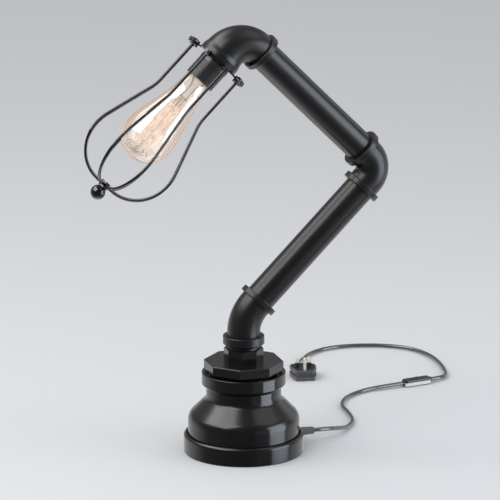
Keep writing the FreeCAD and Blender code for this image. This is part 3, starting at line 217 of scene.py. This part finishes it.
# %% Finish as a class
class Finish:
    """A net of shader nodes: constants go on the shader's sockets, nodes are added by type."""

    def __init__(self, name, shader="ShaderNodeBsdfPrincipled", **constants):
        self.material = bpy.data.materials.new(name)
        self.start(self.material, "ShaderNodeOutputMaterial", shader, constants)

    def start(self, owner, output, shader, constants):
        """Empties a tree, then gives it an output and a shader with its constants."""
        owner.use_nodes = True
        self.tree = owner.node_tree
        self.tree.nodes.clear()
        self.output = self.tree.nodes.new(output)
        self.shader = self.add(shader, {}, constants)
        self.feed(self.output, Surface=self.shader)

    def add(self, kind, settings=None, inputs=None, output=0):
        """Makes a node with its settings and inputs, and wraps one of its outputs."""
        node = self.tree.nodes.new(kind)
        for key, setting in (settings or {}).items():
            if key == "stops":
                self.set_stops(node.color_ramp, setting)
            else:
                setattr(node, key, setting)
        self.feed(node, **{str(key): value for key, value in (inputs or {}).items()})
        return Value(self, node.outputs[output])

    def set_stops(self, ramp, stops):
        """Gives a colour ramp its places and colours, in rising order."""
        for place, color in stops[1:-1]:
            ramp.elements.new(place)
        for element, (place, color) in zip(ramp.elements, stops):
            element.position = place
            element.color = (*color, 1)

    def feed(self, node, **inputs):
        """Fills sockets, by name or by number, with links or with constants."""
        node = node.socket.node if isinstance(node, Value) else node
        for key, value in inputs.items():
            name = key.replace("_", " ")
            socket = node.inputs[int(key)] if key.isdigit() else node.inputs[name]
            if isinstance(value, Value):
                self.tree.links.new(value.socket, socket)
            elif hasattr(socket.default_value, "__len__") and len(value) == 3:
                socket.default_value = (*value, 1)[:len(socket.default_value)]
            else:
                socket.default_value = value

    def place(self, scale=(1, 1, 1), turn=(0, 0, 0)):
        """Object coordinates in metres, turned and stretched."""
        coordinates = self.add("ShaderNodeTexCoord", output="Object")
        return self.add("ShaderNodeMapping", {"vector_type": "TEXTURE"},
                        {"Vector": coordinates, "Rotation": turn, "Scale": scale})

    def noise(self, size, detail=3.0, where=None, rough=0.5):
        """Soft mottling whose blotches are about as large as size, in metres."""
        return self.add("ShaderNodeTexNoise", {"noise_dimensions": "3D"},
                        {"Vector": where or self.place(), "Scale": 1 / size, "Detail": detail,
                         "Roughness": rough})

    def ramp(self, factor, *stops):
        """A colour that the factor picks between stops, each a place and a colour."""
        return self.add("ShaderNodeValToRGB", {"stops": stops}, {"Fac": factor})

    def mask(self, factor, low, high):
        """Black up to low, white from high on, and grey between them."""
        return self.ramp(factor, (low, (0, 0, 0)), (high, (1, 1, 1)))

    def mix(self, factor, first, second):
        """Two colours, the second one as far as the factor says."""
        return self.add("ShaderNodeMix", {"data_type": "RGBA"},
                        {"0": factor, "6": first, "7": second}, output=2)

    def blend(self, factor, first, second):
        """Two shaders, the second one as far as the factor says."""
        return self.add("ShaderNodeMixShader", {}, {"0": factor, "1": first, "2": second})

    def bump(self, height, distance, under=None):
        """Small relief, distance high in metres, on top of another bump where there is one."""
        inputs = {"Height": height, "Distance": distance}
        if under:
            inputs["Normal"] = under
        return self.add("ShaderNodeBump", {}, inputs)


def scaled(color, times, plus=0.0):
    """A paler or darker neighbour of a colour."""
    return tuple(part * times + plus for part in color)


print("a finish has", ", ".join(name for name in vars(Finish) if name[0] != "_"))

# %% [markdown]
# ## Black enamel on iron
#
# The castings and pipes are sprayed with one coat of satin black. Under it a casting keeps
# the faint unevenness of the sand mould, while a drawn pipe is almost smooth, so the two share
# one recipe with different amounts. The gloss varies in soft blotches, and in small worn spots
# the coat is a touch lighter. Dust dulls what faces up on the base and the bushes. The index of
# refraction is set higher than a plastic's, because the coat mirrors the lights more strongly.

# %% Black enamel
BLACK = (0.0042, 0.0043, 0.0047)
WORN_BLACK = (0.012, 0.0115, 0.011)
ORANGE_PEEL = 0.000008


def enamel(name, mould, gloss, settled=0.0):
    """Satin black paint on metal that waves by mould, in metres, duller by settled on top."""
    finish = Finish(name, Specular_IOR_Level=0.5, IOR=1.75)
    facing = finish.add("ShaderNodeTexCoord", output="Normal")
    upward = finish.add("ShaderNodeSeparateXYZ", {}, {"Vector": facing}, output="Z")
    dust = finish.mask(upward, 0.1, 0.5)
    blotches = finish.noise(0.024, 4.0)
    grain = finish.noise(0.0011, 2.0)
    worn = finish.mask(finish.noise(0.006, 6.0, rough=0.7), 0.55, 0.8)
    tone = finish.mix(finish.mask(blotches, 0.35, 0.75), BLACK, scaled(BLACK, 1.35))
    tone = finish.mix(worn * 0.3, tone, WORN_BLACK)
    rough = gloss + blotches * 0.05 + worn * 0.04 + grain * 0.02 + dust * settled
    waves = finish.bump(finish.noise(0.012, 2.0), mould)
    skin = finish.bump(grain, ORANGE_PEEL, under=waves)
    finish.feed(finish.shader, Base_Color=tone, Roughness=rough, Normal=skin)
    return finish.material


cast_enamel = enamel("cast_enamel", 0.00004, 0.31)
base_enamel = enamel("base_enamel", 0.00003, 0.10, settled=0.10)
pipe_enamel = enamel("pipe_enamel", 0.00002, 0.27)
bush_enamel = enamel("bush_enamel", 0.00003, 0.13, settled=0.10)
print("enamel:", cast_enamel.name, base_enamel.name, pipe_enamel.name, bush_enamel.name)

# %% [markdown]
# ## Cage steel, zinc and small metal
#
# The cage is bent from wire that was blackened and oiled, so it is dark metal instead of paint,
# and mirrors more sharply. Fasteners under the base are zinc plated: bright, with fine streaks.
# The pins are pale brass, brushed along their length.

# %% Metals
STREAK = 12


def blackened_steel():
    """Oiled black wire with patches that are a little paler."""
    finish = Finish("blackened_steel")
    blotches = finish.noise(0.004, 5.0, rough=0.65)
    patches = finish.mask(blotches, 0.4, 0.75)
    tone = finish.mix(patches, (0.095, 0.097, 0.101), (0.14, 0.142, 0.147))
    finish.feed(finish.shader, Base_Color=tone, Metallic=patches * 0.03 + 0.97,
                Roughness=blotches * 0.06 + 0.02,
                Normal=finish.bump(finish.noise(0.0009, 3.0), 0.00001))
    return finish.material


def plated(name, color, gloss, metal=1.0):
    """Metal with fine streaks, drawn out upwards, and stains that are a shade darker."""
    finish = Finish(name, Metallic=metal)
    streaks = finish.noise(0.0006, 4.0, finish.place(scale=(1, 1, STREAK)))
    stains = finish.noise(0.005, 3.0)
    tone = finish.mix(finish.mask(stains, 0.35, 0.8), color, scaled(color, 0.72))
    finish.feed(finish.shader, Base_Color=tone, Roughness=gloss + stains * 0.18 + streaks * 0.12,
                Normal=finish.bump(streaks, 0.00001))
    return finish.material


cage_steel = blackened_steel()
zinc = plated("zinc", (0.62, 0.63, 0.64), 0.22)
dark_zinc = plated("dark_zinc", (0.17, 0.172, 0.18), 0.2)
brass = plated("brass", (0.75, 0.55, 0.25), 0.2)
pale_brass = plated("pale_brass", (0.97, 0.93, 0.78), 0.3, metal=0.25)
raw_iron = plated("raw_iron", (0.16, 0.15, 0.15), 0.5)
print("metals:", ", ".join(metal.name for metal in (cage_steel, zinc, dark_zinc, brass,
                                                    pale_brass, raw_iron)))

# %% [markdown]
# ## Plastics, rubber, porcelain and felt
#
# Moulded pieces differ mostly in colour and in the texture of the tool that made them. One
# recipe takes the colour, the gloss, and the size and depth of that texture. Two pieces also
# carry near-black paint between two heights. Under the switch's lower edge it is a painted
# shadow, a thin dark line all the way round where the switch meets the floor. On the plug it
# paints the floor of the recessed pin face near-black, with a thin line round the sides at that
# height. Both lie level on the floor, so a range of heights finds them, and nothing has to be
# modelled.

# %% Moulded pieces
# Near-black paint: a painted shadow under the switch's lower edge, and the plug's recessed pin face.
PAINTED_SHADOW_AND_RECESS_BLACK = (0.012, 0.012, 0.013)
SWITCH_EDGE_SHADOW = (-0.0002, 0.0011)
PLUG_FACE_FLOOR = (0.0128, 0.0133)


def between(finish, low, high):
    """One inside a range of heights above the table, nought outside it."""
    level = finish.add("ShaderNodeSeparateXYZ", {}, {"Vector": finish.place()}, output="Z")
    return level.maths("GREATER_THAN", low) * level.maths("LESS_THAN", high)


def moulded(name, color, gloss, texture, depth, dark_band=None, **constants):
    """A moulded skin whose texture has a size and a depth, both in metres."""
    finish = Finish(name, **constants)
    grain = finish.noise(texture, 3.0)
    clouds = finish.noise(texture * 14, 4.0, rough=0.6)
    tone = finish.mix(finish.mask(clouds, 0.3, 0.8), color, scaled(color, 1.25, plus=0.002))
    if dark_band:
        # Painted near-black band: under the switch it is a painted shadow, on the plug the recessed pin face.
        tone = finish.mix(between(finish, *dark_band), tone, PAINTED_SHADOW_AND_RECESS_BLACK)
    finish.feed(finish.shader, Base_Color=tone, Roughness=gloss + clouds * 0.12 + grain * 0.05,
                Normal=finish.bump(grain, depth))
    return finish.material


def felt_finish():
    """Short dark hairs, some of them paler, under a soft sheen."""
    finish = Finish("felt", Sheen_Weight=0.6, Sheen_Roughness=0.5)
    hairs = finish.noise(0.0007, 8.0, rough=0.75)
    tone = finish.mix(finish.mask(hairs, 0.3, 0.7), (0.008, 0.008, 0.009),
                      (0.035, 0.035, 0.037))
    finish.feed(finish.shader, Base_Color=tone, Roughness=hairs * 0.1 + 0.85,
                Normal=finish.bump(hairs, 0.0003))
    return finish.material


sheath = moulded("cord_sheath", (0.055, 0.057, 0.061), 0.03, 0.0012, 0.000008, IOR=2.3)
relief_rubber = moulded("relief_rubber", (0.10, 0.102, 0.106), 0.42, 0.0006, 0.00003)
holder_black = moulded("holder_black", (0.026, 0.027, 0.029), 0.24, 0.003, 0.0000005, IOR=2.0)
# The switch's lowest band is a painted shadow where it meets the floor.
switch_pale = moulded("switch_pale", (0.64, 0.67, 0.63), 0.32, 0.0005, 0.00001,
                      dark_band=SWITCH_EDGE_SHADOW)
switch_black = moulded("switch_black", (0.010, 0.010, 0.011), 0.10, 0.0005, 0.00001, IOR=1.8)
# The plug's band paints the floor of its recessed pin face near-black.
plug_grey = moulded("plug_grey", (0.085, 0.087, 0.092), 0.38, 0.0005, 0.00003, IOR=1.7,
                    dark_band=PLUG_FACE_FLOOR)
sleeve_black = moulded("sleeve_black", (0.02, 0.02, 0.021), 0.35, 0.0005, 0.00001)
porcelain = moulded("porcelain", (0.78, 0.76, 0.72), 0.12, 0.0015, 0.00002, Coat_Weight=0.5)
felt = felt_finish()
print("moulded pieces:", sheath.name, plug_grey.name, porcelain.name, felt.name)

# %% [markdown]
# ## Dressing the solids
#
# The record gives every solid a material slot, and one table gives every slot its finish. A
# second table names the few solids that depart from theirs: the smooth pipes, the glossier base
# and bushes, and the dark fasteners of the head. Glass and filament are left out here, because
# finer pieces take their place further on.

# %% Dressing the solids
FINISHES = {
    "black_iron": cast_enamel, "cage_steel": cage_steel, "zinc_steel": zinc,
    "cast_ballast": raw_iron, "felt": felt, "grey_rubber": relief_rubber,
    "cord_sheath": sheath, "inner_flex": sheath, "holder_black": holder_black,
    "porcelain": porcelain, "brass": brass, "switch_pale": switch_pale,
    "switch_black": switch_black, "plug_grey": plug_grey, "pin_brass": pale_brass,
    "sleeve_black": sleeve_black,
}
SPECIAL = {"lower_pipe": pipe_enamel, "upper_pipe": pipe_enamel, "base_bush": bush_enamel,
           "swivel_bush": bush_enamel, "base_casting": base_enamel, "cage_nuts": dark_zinc,
           "cage_studs": dark_zinc, "nipple_nut": dark_zinc}


def dress(piece, material):
    """Gives a piece one material and takes away any other."""
    piece.data.materials.clear()
    piece.data.materials.append(material)


slots = {row["node"]: row["material_slot"] for row in frame["record"]["subparts"]}
solids = [node for node, slot in slots.items() if slot in FINISHES]
for node in solids:
    dress(nodes[node], SPECIAL.get(node, FINISHES[slots[node]]))
for piece in (lead_in, lead_out):
    dress(piece, sheath)
print("dressed", len(solids), "of", len(nodes), "solids, and the lead")

# %% [markdown]
# ## Axes of the head
#
# Everything in the head is turned about one line, so it is easiest to model upright on the
# origin and to place once. The line comes from the joints: the head hangs from the end of the
# upper arm, and points back along the lower pipe. The columns of one matrix hold that frame, and
# a helper finishes every mesh of the head in the same way.

# %% Axes of the head
MERGE_DISTANCE = 0.000005

joints = {joint["name"]: joint for joint in frame["joints"]}
head_corner = Vector(joints["head_twist"]["pos_m"])
along_upper = Vector(joints["head_twist"]["axis"])
along_head = -Vector(joints["upper_arm_twist"]["axis"])
head_frame = columns(along_upper, along_head.cross(along_upper), along_head, head_corner)


def finished(name, mesh, material, node=None):
    """Places a bmesh in the head and makes it a piece that rides there, for a node if given."""
    bmesh.ops.transform(mesh, matrix=head_frame, verts=mesh.verts)
    bmesh.ops.remove_doubles(mesh, verts=mesh.verts, dist=MERGE_DISTANCE)
    bmesh.ops.recalc_face_normals(mesh, faces=mesh.faces)
    for face in mesh.faces:
        face.smooth = True
    data = bpy.data.meshes.new(name)
    mesh.to_mesh(data)
    mesh.free()
    piece = bpy.data.objects.new(name, data)
    bpy.context.scene.collection.objects.link(piece)
    dress(piece, material)
    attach(piece, "head")
    if node:
        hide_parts(node)
    print(name, "has", len(data.polygons), "faces")


print("head axis", tuple(round(part, 3) for part in along_head))

# %% [markdown]
# ## The blown glass
#
# A bulb is a body of revolution, so its outline is drawn once and spun. The outline itself is
# made with the same tool: a point is spun about the centre of each arc, which keeps neighbours
# tangent. From the tip it is a half round, a long shoulder, a straight flank, and the
# inward curve that ends in the neck.

# %% Blown glass
BULB_TIP = 0.2028
BULB_RADIUS = 0.0332
SHOULDER = 0.080
FLANK = 0.150
SHOULDER_SLOPE = math.radians(14)
NECK_SLOPE = math.radians(7.6)
STRAIGHT = 0.034
BULB_FOOT = 0.079
CAP_RIM = 0.076
CAP_RADIUS = 0.01265
GLASS_STEPS = 72


def arc(mesh, start, centre, angle, steps):
    """Spins a point about a centre in the XZ plane and returns the point where it ends."""
    turned = bmesh.ops.spin(mesh, geom=[start], cent=centre, axis=(0, 1, 0), angle=angle,
                            steps=steps, use_duplicate=False)
    return turned["geom_last"][0]


def straight_to(mesh, start, place):
    """Extrudes a point to a place."""
    grown = bmesh.ops.extrude_vert_indiv(mesh, verts=[start])["verts"][0]
    grown.co = place
    return grown


def glass_profile(mesh):
    """Draws half of the bulb's outline, from its tip to the rim of its cap."""
    middle = BULB_TIP - BULB_RADIUS
    point = mesh.verts.new((0, 0, BULB_TIP))
    point = arc(mesh, point, (0, 0, middle), math.radians(90), 14)
    point = arc(mesh, point, (BULB_RADIUS - SHOULDER, 0, middle), SHOULDER_SLOPE, 8)
    slope = Vector((-math.sin(SHOULDER_SLOPE), 0, -math.cos(SHOULDER_SLOPE)))
    point = straight_to(mesh, point, point.co + slope * STRAIGHT)
    outward = Vector((math.cos(SHOULDER_SLOPE), 0, -math.sin(SHOULDER_SLOPE)))
    centre = point.co + outward * FLANK
    point = arc(mesh, point, centre, NECK_SLOPE - SHOULDER_SLOPE, 5)
    run = point.co.z - BULB_FOOT
    foot = Vector((point.co.x - run * math.tan(NECK_SLOPE), 0, BULB_FOOT))
    point = straight_to(mesh, point, foot)
    straight_to(mesh, point, Vector((CAP_RADIUS, 0, CAP_RIM)))


def spun(mesh, steps):
    """A full turn of everything in the mesh about its Z axis."""
    bmesh.ops.spin(mesh, geom=mesh.verts[:] + mesh.edges[:], cent=(0, 0, 0), axis=(0, 0, 1),
                   angle=math.tau, steps=steps, use_merge=True, use_duplicate=False)


glass = bmesh.new()
glass_profile(glass)
spun(glass, GLASS_STEPS)
print("the glass has", len(glass.verts), "points")

# %% [markdown]
# ## A lustre on the glass
#
# Old-fashioned bulbs have a thin warm lustre on the glass. A single glass shader would show the
# room bent through it and little else, so the finish is a mix of five plain ones: clear in the
# middle, tinted where the wall turns away, a pale bloom towards the outline, a weak glow that
# stands for the light of the strands, and over them all a mirror that shows the lights as long
# white bands. Layer Weight tells how far the wall turns away, so the mix holds from any side.

# %% Lustre
def bulb_glass_finish():
    """Clear glass with a weak glow in its middle, a pale bloom at its edge, and a mirror."""
    finish = Finish("bulb_glass", "ShaderNodeBsdfTransparent", Color=(0.985, 0.965, 0.94))
    tinted = finish.add("ShaderNodeBsdfTransparent", {}, {"Color": (0.80, 0.66, 0.54)})
    bloom = finish.add("ShaderNodeBsdfDiffuse", {}, {"Color": (0.86, 0.68, 0.54)})
    light = finish.add("ShaderNodeEmission", {}, {"Color": (1.0, 0.87, 0.77), "Strength": 2.0})
    gloss = finish.add("ShaderNodeBsdfGlossy", {}, {"Color": (1, 0.98, 0.95), "Roughness": 0.06})
    turned = finish.add("ShaderNodeLayerWeight", {}, {"Blend": 0.5}, output="Facing")
    body = finish.blend(turned, finish.shader, tinted)
    lit = finish.blend((1 - turned) * 0.21, body, light)
    rim = finish.blend((turned ** 2) * 0.40 + 0.03, lit, bloom)
    coated = finish.blend((turned ** 5) * 0.35 + 0.24, rim, gloss)
    finish.feed(finish.output, Surface=coated)
    return finish.material


finished("bulb_shell", glass, bulb_glass_finish(), node="bulb_glass")

# %% [markdown]
# ## The stem
#
# A long glass stem rises from the cap, and a thin rod goes on from it to the star of wires near
# the tip. It is a body of revolution as well, so the same helpers draw its outline and spin it.
# Its glass is plainer than the bulb's: it only darkens where it turns away, under a thin mirror.

# %% Stem
STEM_TOP = 0.109
ROD_RADIUS = 0.0012
STAR_PLACE = 0.1935
STEM_OUTLINE = ((0.0092, 0.0655), (0.0092, 0.079), (0.0050, 0.087), (0.0042, 0.099),
                (0.0049, 0.105), (0.0032, STEM_TOP), (ROD_RADIUS, STEM_TOP + 0.003),
                (ROD_RADIUS, STAR_PLACE - 0.003), (0.0021, STAR_PLACE - 0.001),
                (ROD_RADIUS, STAR_PLACE + 0.0012), (0, STAR_PLACE + 0.0018))
STEM_STEPS = 24


def stem_glass_finish():
    """Thin clear glass: it darkens where it turns away, and mirrors a little."""
    finish = Finish("stem_glass", "ShaderNodeBsdfTransparent", Color=(0.96, 0.95, 0.93))
    gloss = finish.add("ShaderNodeBsdfGlossy", {}, {"Color": (1, 1, 1), "Roughness": 0.05})
    shade = finish.add("ShaderNodeBsdfTransparent", {}, {"Color": (0.55, 0.50, 0.45)})
    facing = finish.add("ShaderNodeLayerWeight", {}, {"Blend": 0.3}, output="Facing")
    mirror = finish.add("ShaderNodeLayerWeight", {}, {"Blend": 0.3}, output="Fresnel")
    coated = finish.blend(mirror, finish.blend(facing, finish.shader, shade), gloss)
    finish.feed(finish.output, Surface=coated)
    return finish.material


stem = bmesh.new()
corner = stem.verts.new((0, 0, STEM_OUTLINE[0][1]))
for radius, height in STEM_OUTLINE:
    corner = straight_to(stem, corner, Vector((radius, 0, height)))
spun(stem, STEM_STEPS)
finished("bulb_stem_glass", stem, stem_glass_finish(), node="bulb_stem")

# %% [markdown]
# ## The filament
#
# The filament zigzags between the crown at the stem and the hooks near the tip, so its strands
# make a slim cage round the rod. A wire is a curve with a bevel, and a loop makes the repeated
# ones. The curves are turned into one mesh, which takes its place in the head as the glass does.

# %% Filament
CROWN_PLACE = 0.1065
CROWN_RADIUS = 0.0062
HOOK_PLACE = 0.1865
HOOK_RADIUS = 0.0118
STRANDS = 9
STRAND_STEP = math.tau / STRANDS
BELLY_PLACE = (CROWN_PLACE + HOOK_PLACE) / 2
BELLY_RADIUS = CROWN_RADIUS * 1.35
BELLY_TURN = STRAND_STEP * 0.12
WIRE_RADIUS = 0.00034


def filament_finish():
    """Carbon filament, barely warm: some stretches glow, and others stay a copper brown."""
    finish = Finish("filament_wire", Metallic=0.4, Emission_Strength=0.8)
    grain = finish.noise(0.0008, 3.0)
    warm = finish.mask(finish.noise(0.008, 2.0), 0.38, 0.54)
    tone = finish.mix(warm, (0.34, 0.15, 0.07), (0.95, 0.62, 0.42))
    finish.feed(finish.shader, Base_Color=tone, Emission_Color=tone, Roughness=grain * 0.2 + 0.3)
    return finish.material


def round_point(radius, angle, height):
    """A point beside the head's axis, which a wire passes or ends at."""
    return Vector((radius * math.cos(angle), radius * math.sin(angle), height))


def wire_mesh(name, lines):
    """Round wires along several short lists of points, as one bmesh."""
    curve = round_curve(name, bevel=WIRE_RADIUS, sides=2, steps=8)
    for line in lines:
        add_spline(curve, line)
    holder = bpy.data.objects.new(name, curve)
    bpy.context.scene.collection.objects.link(holder)
    bpy.context.view_layer.update()
    data = bpy.data.meshes.new_from_object(holder.evaluated_get(
        bpy.context.evaluated_depsgraph_get()))
    mesh = bmesh.new()
    mesh.from_mesh(data)
    bpy.data.objects.remove(holder)
    bpy.data.meshes.remove(data)
    return mesh


def strand_pair(angle):
    """A strand from the crown to a hook near the tip, and the next one, back to the crown."""
    hook = round_point(HOOK_RADIUS, angle + STRAND_STEP / 2, HOOK_PLACE)
    there = [round_point(CROWN_RADIUS, angle, CROWN_PLACE),
             round_point(BELLY_RADIUS, angle + BELLY_TURN, BELLY_PLACE), hook]
    angle += STRAND_STEP
    back_again = [hook, round_point(BELLY_RADIUS, angle - BELLY_TURN, BELLY_PLACE),
                  round_point(CROWN_RADIUS, angle, CROWN_PLACE)]
    return [there, back_again]


strands = []
for number in range(STRANDS):
    strands += strand_pair(number * STRAND_STEP)
finished("filament_strands", wire_mesh("strands", strands), filament_finish(),
         node="bulb_filament")

# %% [markdown]
# ## The hooks
#
# Brown wire holds the filament. Near the tip a star of arms reaches towards the glass and bends
# back to the strands, and short hooks reach from the stem to the crown. Rings of the same wire
# bind the crown into a small basket. A table of radii and heights describes each arm and hook,
# and a loop turns it about the axis.

# %% Hooks
STAR_REACH = 0.0165
STAR_TILT = 0.004
CROWN_RINGS = 7
CROWN_DEPTH = 0.012
CROWN_FLARE = 0.0012
RING_SIDES = 12
STAR_ARM = ((ROD_RADIUS, STAR_PLACE, 0), (0.007, STAR_PLACE, 0.5), (STAR_REACH, STAR_PLACE, 1),
            (STAR_REACH - 0.0010, STAR_PLACE - 0.005, 0),
            (HOOK_RADIUS + 0.0006, HOOK_PLACE - 0.0008, 0),
            (HOOK_RADIUS - 0.0010, HOOK_PLACE - 0.0002, 0))
CROWN_HOOK = ((0.0030, STEM_TOP - 0.004), (0.0050, STEM_TOP - 0.0035),
              (CROWN_RADIUS + 0.0005, CROWN_PLACE - 0.001),
              (CROWN_RADIUS + 0.0003, CROWN_PLACE + 0.001))


def star_arm(angle):
    """From the rod out towards the glass, round, and back to where a strand turns."""
    tilt = STAR_TILT * math.sin(angle)
    return [round_point(radius, angle, height + tilt * share)
            for radius, height, share in STAR_ARM]


def crown_hook(angle):
    """A short wire from the stem's top out to the crown."""
    return [round_point(radius, angle, height) for radius, height in CROWN_HOOK]


def crown_ring(share):
    """One ring of the basket, which spreads with the strands; share is its place along it."""
    return [round_point(CROWN_RADIUS + share * CROWN_FLARE, turn * math.tau / RING_SIDES,
                        CROWN_PLACE + share * CROWN_DEPTH) for turn in range(RING_SIDES + 1)]


hooks = []
for number in range(STRANDS):
    angle = number * STRAND_STEP
    hooks += [star_arm(angle + STRAND_STEP / 2), crown_hook(angle)]
hooks += [crown_ring(number / (CROWN_RINGS - 1)) for number in range(CROWN_RINGS)]
finished("filament_hooks", wire_mesh("hooks", hooks),
         plated("hook_wire", (0.17, 0.125, 0.095), 0.3))

# %% [markdown]
# ## The floor
#
# The lamp stands on one wide pale floor. Its colour is painted a shade darker far away, a
# painted falloff of light, as studio paper darkens where it leaves the light. Mirrored rays
# don't see it, because the next step gives them their own paper.

# %% Floor
# Near and far colours of the floor: the darker far one is a painted falloff of light.
FLOOR_NEAR = (0.615, 0.63, 0.64)
FLOOR_FAR = (0.565, 0.57, 0.578)
FLOOR_REACH = 12
FADE_FROM = -0.5
FADE_TO = 1.9


def floor_finish():
    """Studio paper whose colour is painted darker with its distance behind the lamp, as painted falloff of light.
    """
    finish = Finish("studio_paper", Roughness=0.9, Specular_IOR_Level=0.1)
    depth = finish.add("ShaderNodeSeparateXYZ", {}, {"Vector": finish.place(
        turn=(0, 0, VIEW_AZIMUTH))}, output="Y")
    fade = finish.add("ShaderNodeMapRange", {"interpolation_type": "SMOOTHSTEP"},
                      {"Value": depth, "1": FADE_FROM, "2": FADE_TO})
    # Painted falloff of light: the floor's colour darkens with distance behind the lamp.
    tone = finish.mix(fade, FLOOR_NEAR, FLOOR_FAR)
    finish.feed(finish.shader, Base_Color=tone)
    return finish.material


floor_mesh = bmesh.new()
bmesh.ops.create_grid(floor_mesh, x_segments=1, y_segments=1, size=FLOOR_REACH)
floor_data = bpy.data.meshes.new("floor")
floor_mesh.to_mesh(floor_data)
floor_mesh.free()
floor = bpy.data.objects.new("floor", floor_data)
bpy.context.scene.collection.objects.link(floor)
dress(floor, floor_finish())
floor.visible_glossy = False
print("floor:", tuple(floor.dimensions))

# %% [markdown]
# ## What the enamel mirrors
#
# Black enamel shows little but reflections, so what is mirrored in it is what models its form,
# and it can be chosen apart from what lights it. The world does both: by Light Path, a plain
# soft light reaches everything, while only a mirrored ray sees the studio. That is pale paper
# that ends at the horizon, a dim ceiling, one bright card high at the back and one grey card at
# the side. The paper stands in for the floor, without the lamp's own shadow on it.

# %% Studio
class Surroundings(Finish):
    """The studio around the lamp, written with the same helper."""

    def __init__(self, name, **constants):
        self.world = bpy.data.worlds.new(name)
        self.start(self.world, "ShaderNodeOutputWorld", "ShaderNodeBackground", constants)


studio = Surroundings("studio", Color=(0.95, 0.965, 1.0), Strength=0.80)
bpy.context.scene.world = studio.world
ray = studio.add("ShaderNodeTexCoord", output="Object")


def along(direction):
    """How far a ray into the studio goes along a direction, from -1 to 1."""
    return studio.add("ShaderNodeVectorMath", {"operation": "DOT_PRODUCT"},
                      {"0": ray, "1": direction}, output="Value")


def greys(factor, *stops):
    """A ramp from grey to grey, each stop a place and one number."""
    return studio.ramp(factor, *((place, (grey,) * 3) for place, grey in stops))


away = along((-math.sin(VIEW_AZIMUTH), math.cos(VIEW_AZIMUTH), 0))
level = along((0, 0, 1))
paper = greys((away - level * 0.6) * 0.5 + 0.5, (0.1, 0.06), (0.5, 0.14), (0.56, 0.22),
              (0.76, 0.60), (0.92, 0.74))
under = studio.ramp(level * -1, (0.75, (1, 1, 1)), (0.92, (2.1, 2.1, 2.15)))
lit_paper = studio.add("ShaderNodeVectorMath", {"operation": "MULTIPLY"},
                       {"0": paper, "1": under})
ceiling = greys(away * 0.5 + 0.5, (0.2, 0.07), (0.7, 0.23))
room = studio.mix(studio.mask(level, 0.0, 0.12), lit_paper, ceiling)
side_card = studio.mask(along((0.86, 0.43, 0.28)), 0.955, 0.99)
room = studio.mix(side_card, room, (0.70, 0.70, 0.71))
back_card = studio.mask(along((-0.29, 0.48, 0.83)), 0.945, 0.985)
mirrored = studio.add("ShaderNodeBackground", {}, {
    "Color": studio.mix(back_card, room, (2.1, 2.07, 2.02)), "Strength": 1.0})
glossy_ray = studio.add("ShaderNodeLightPath", output="Is Glossy Ray")
studio.feed(studio.output, Surface=studio.blend(glossy_ray, studio.shader, mirrored))
print("studio:", len(studio.tree.nodes), "nodes")

# %% [markdown]
# ## Four soft lights
#
# The key, high on the left, draws the broad glow on the shoulders. A cool panel low on the right
# draws upright bands on the walls. A weak fill stands in front, and a small one above on the
# right keeps the upper edges apart from the ground.

# %% Soft lights
LAMP_MIDDLE = Vector((0, 0, 0.2))


def softbox(name, azimuth, elevation, distance, width, height, radiance, color):
    """A flat light that faces the table lamp, from an azimuth right of the camera, in degrees."""
    turn = math.radians(azimuth) + VIEW_AZIMUTH
    lift = math.radians(elevation)
    towards = Vector((math.sin(turn) * math.cos(lift), -math.cos(turn) * math.cos(lift),
                      math.sin(lift)))
    across = Vector((math.cos(turn), math.sin(turn), 0))
    data = bpy.data.lights.new(name, "AREA")
    data.shape = "RECTANGLE"
    data.size = width
    data.size_y = height
    data.energy = radiance * width * height * math.pi
    data.color = color
    light = bpy.data.objects.new(name, data)
    light.matrix_world = columns(across, towards.cross(across), towards,
                                 LAMP_MIDDLE + towards * distance)
    bpy.context.scene.collection.objects.link(light)


softbox("key", azimuth=-69, elevation=51, distance=2.6, width=2.9, height=2.0, radiance=2.5,
        color=(1.0, 0.985, 0.965))
softbox("panel", azimuth=74, elevation=3, distance=2.4, width=1.7, height=2.2, radiance=2.8,
        color=(0.82, 0.89, 1.0))
softbox("fill", azimuth=38, elevation=-6, distance=2.6, width=1.2, height=1.3, radiance=0.16,
        color=(0.9, 0.95, 1.0))
softbox("top", azimuth=90, elevation=58, distance=2.6, width=1.8, height=1.4, radiance=0.5,
        color=(1.0, 0.97, 0.93))
print("four soft lights round", tuple(round(part, 3) for part in LAMP_MIDDLE))

# %% [markdown] ## The dressed model
# The dressed model has to keep to the box of the solids.
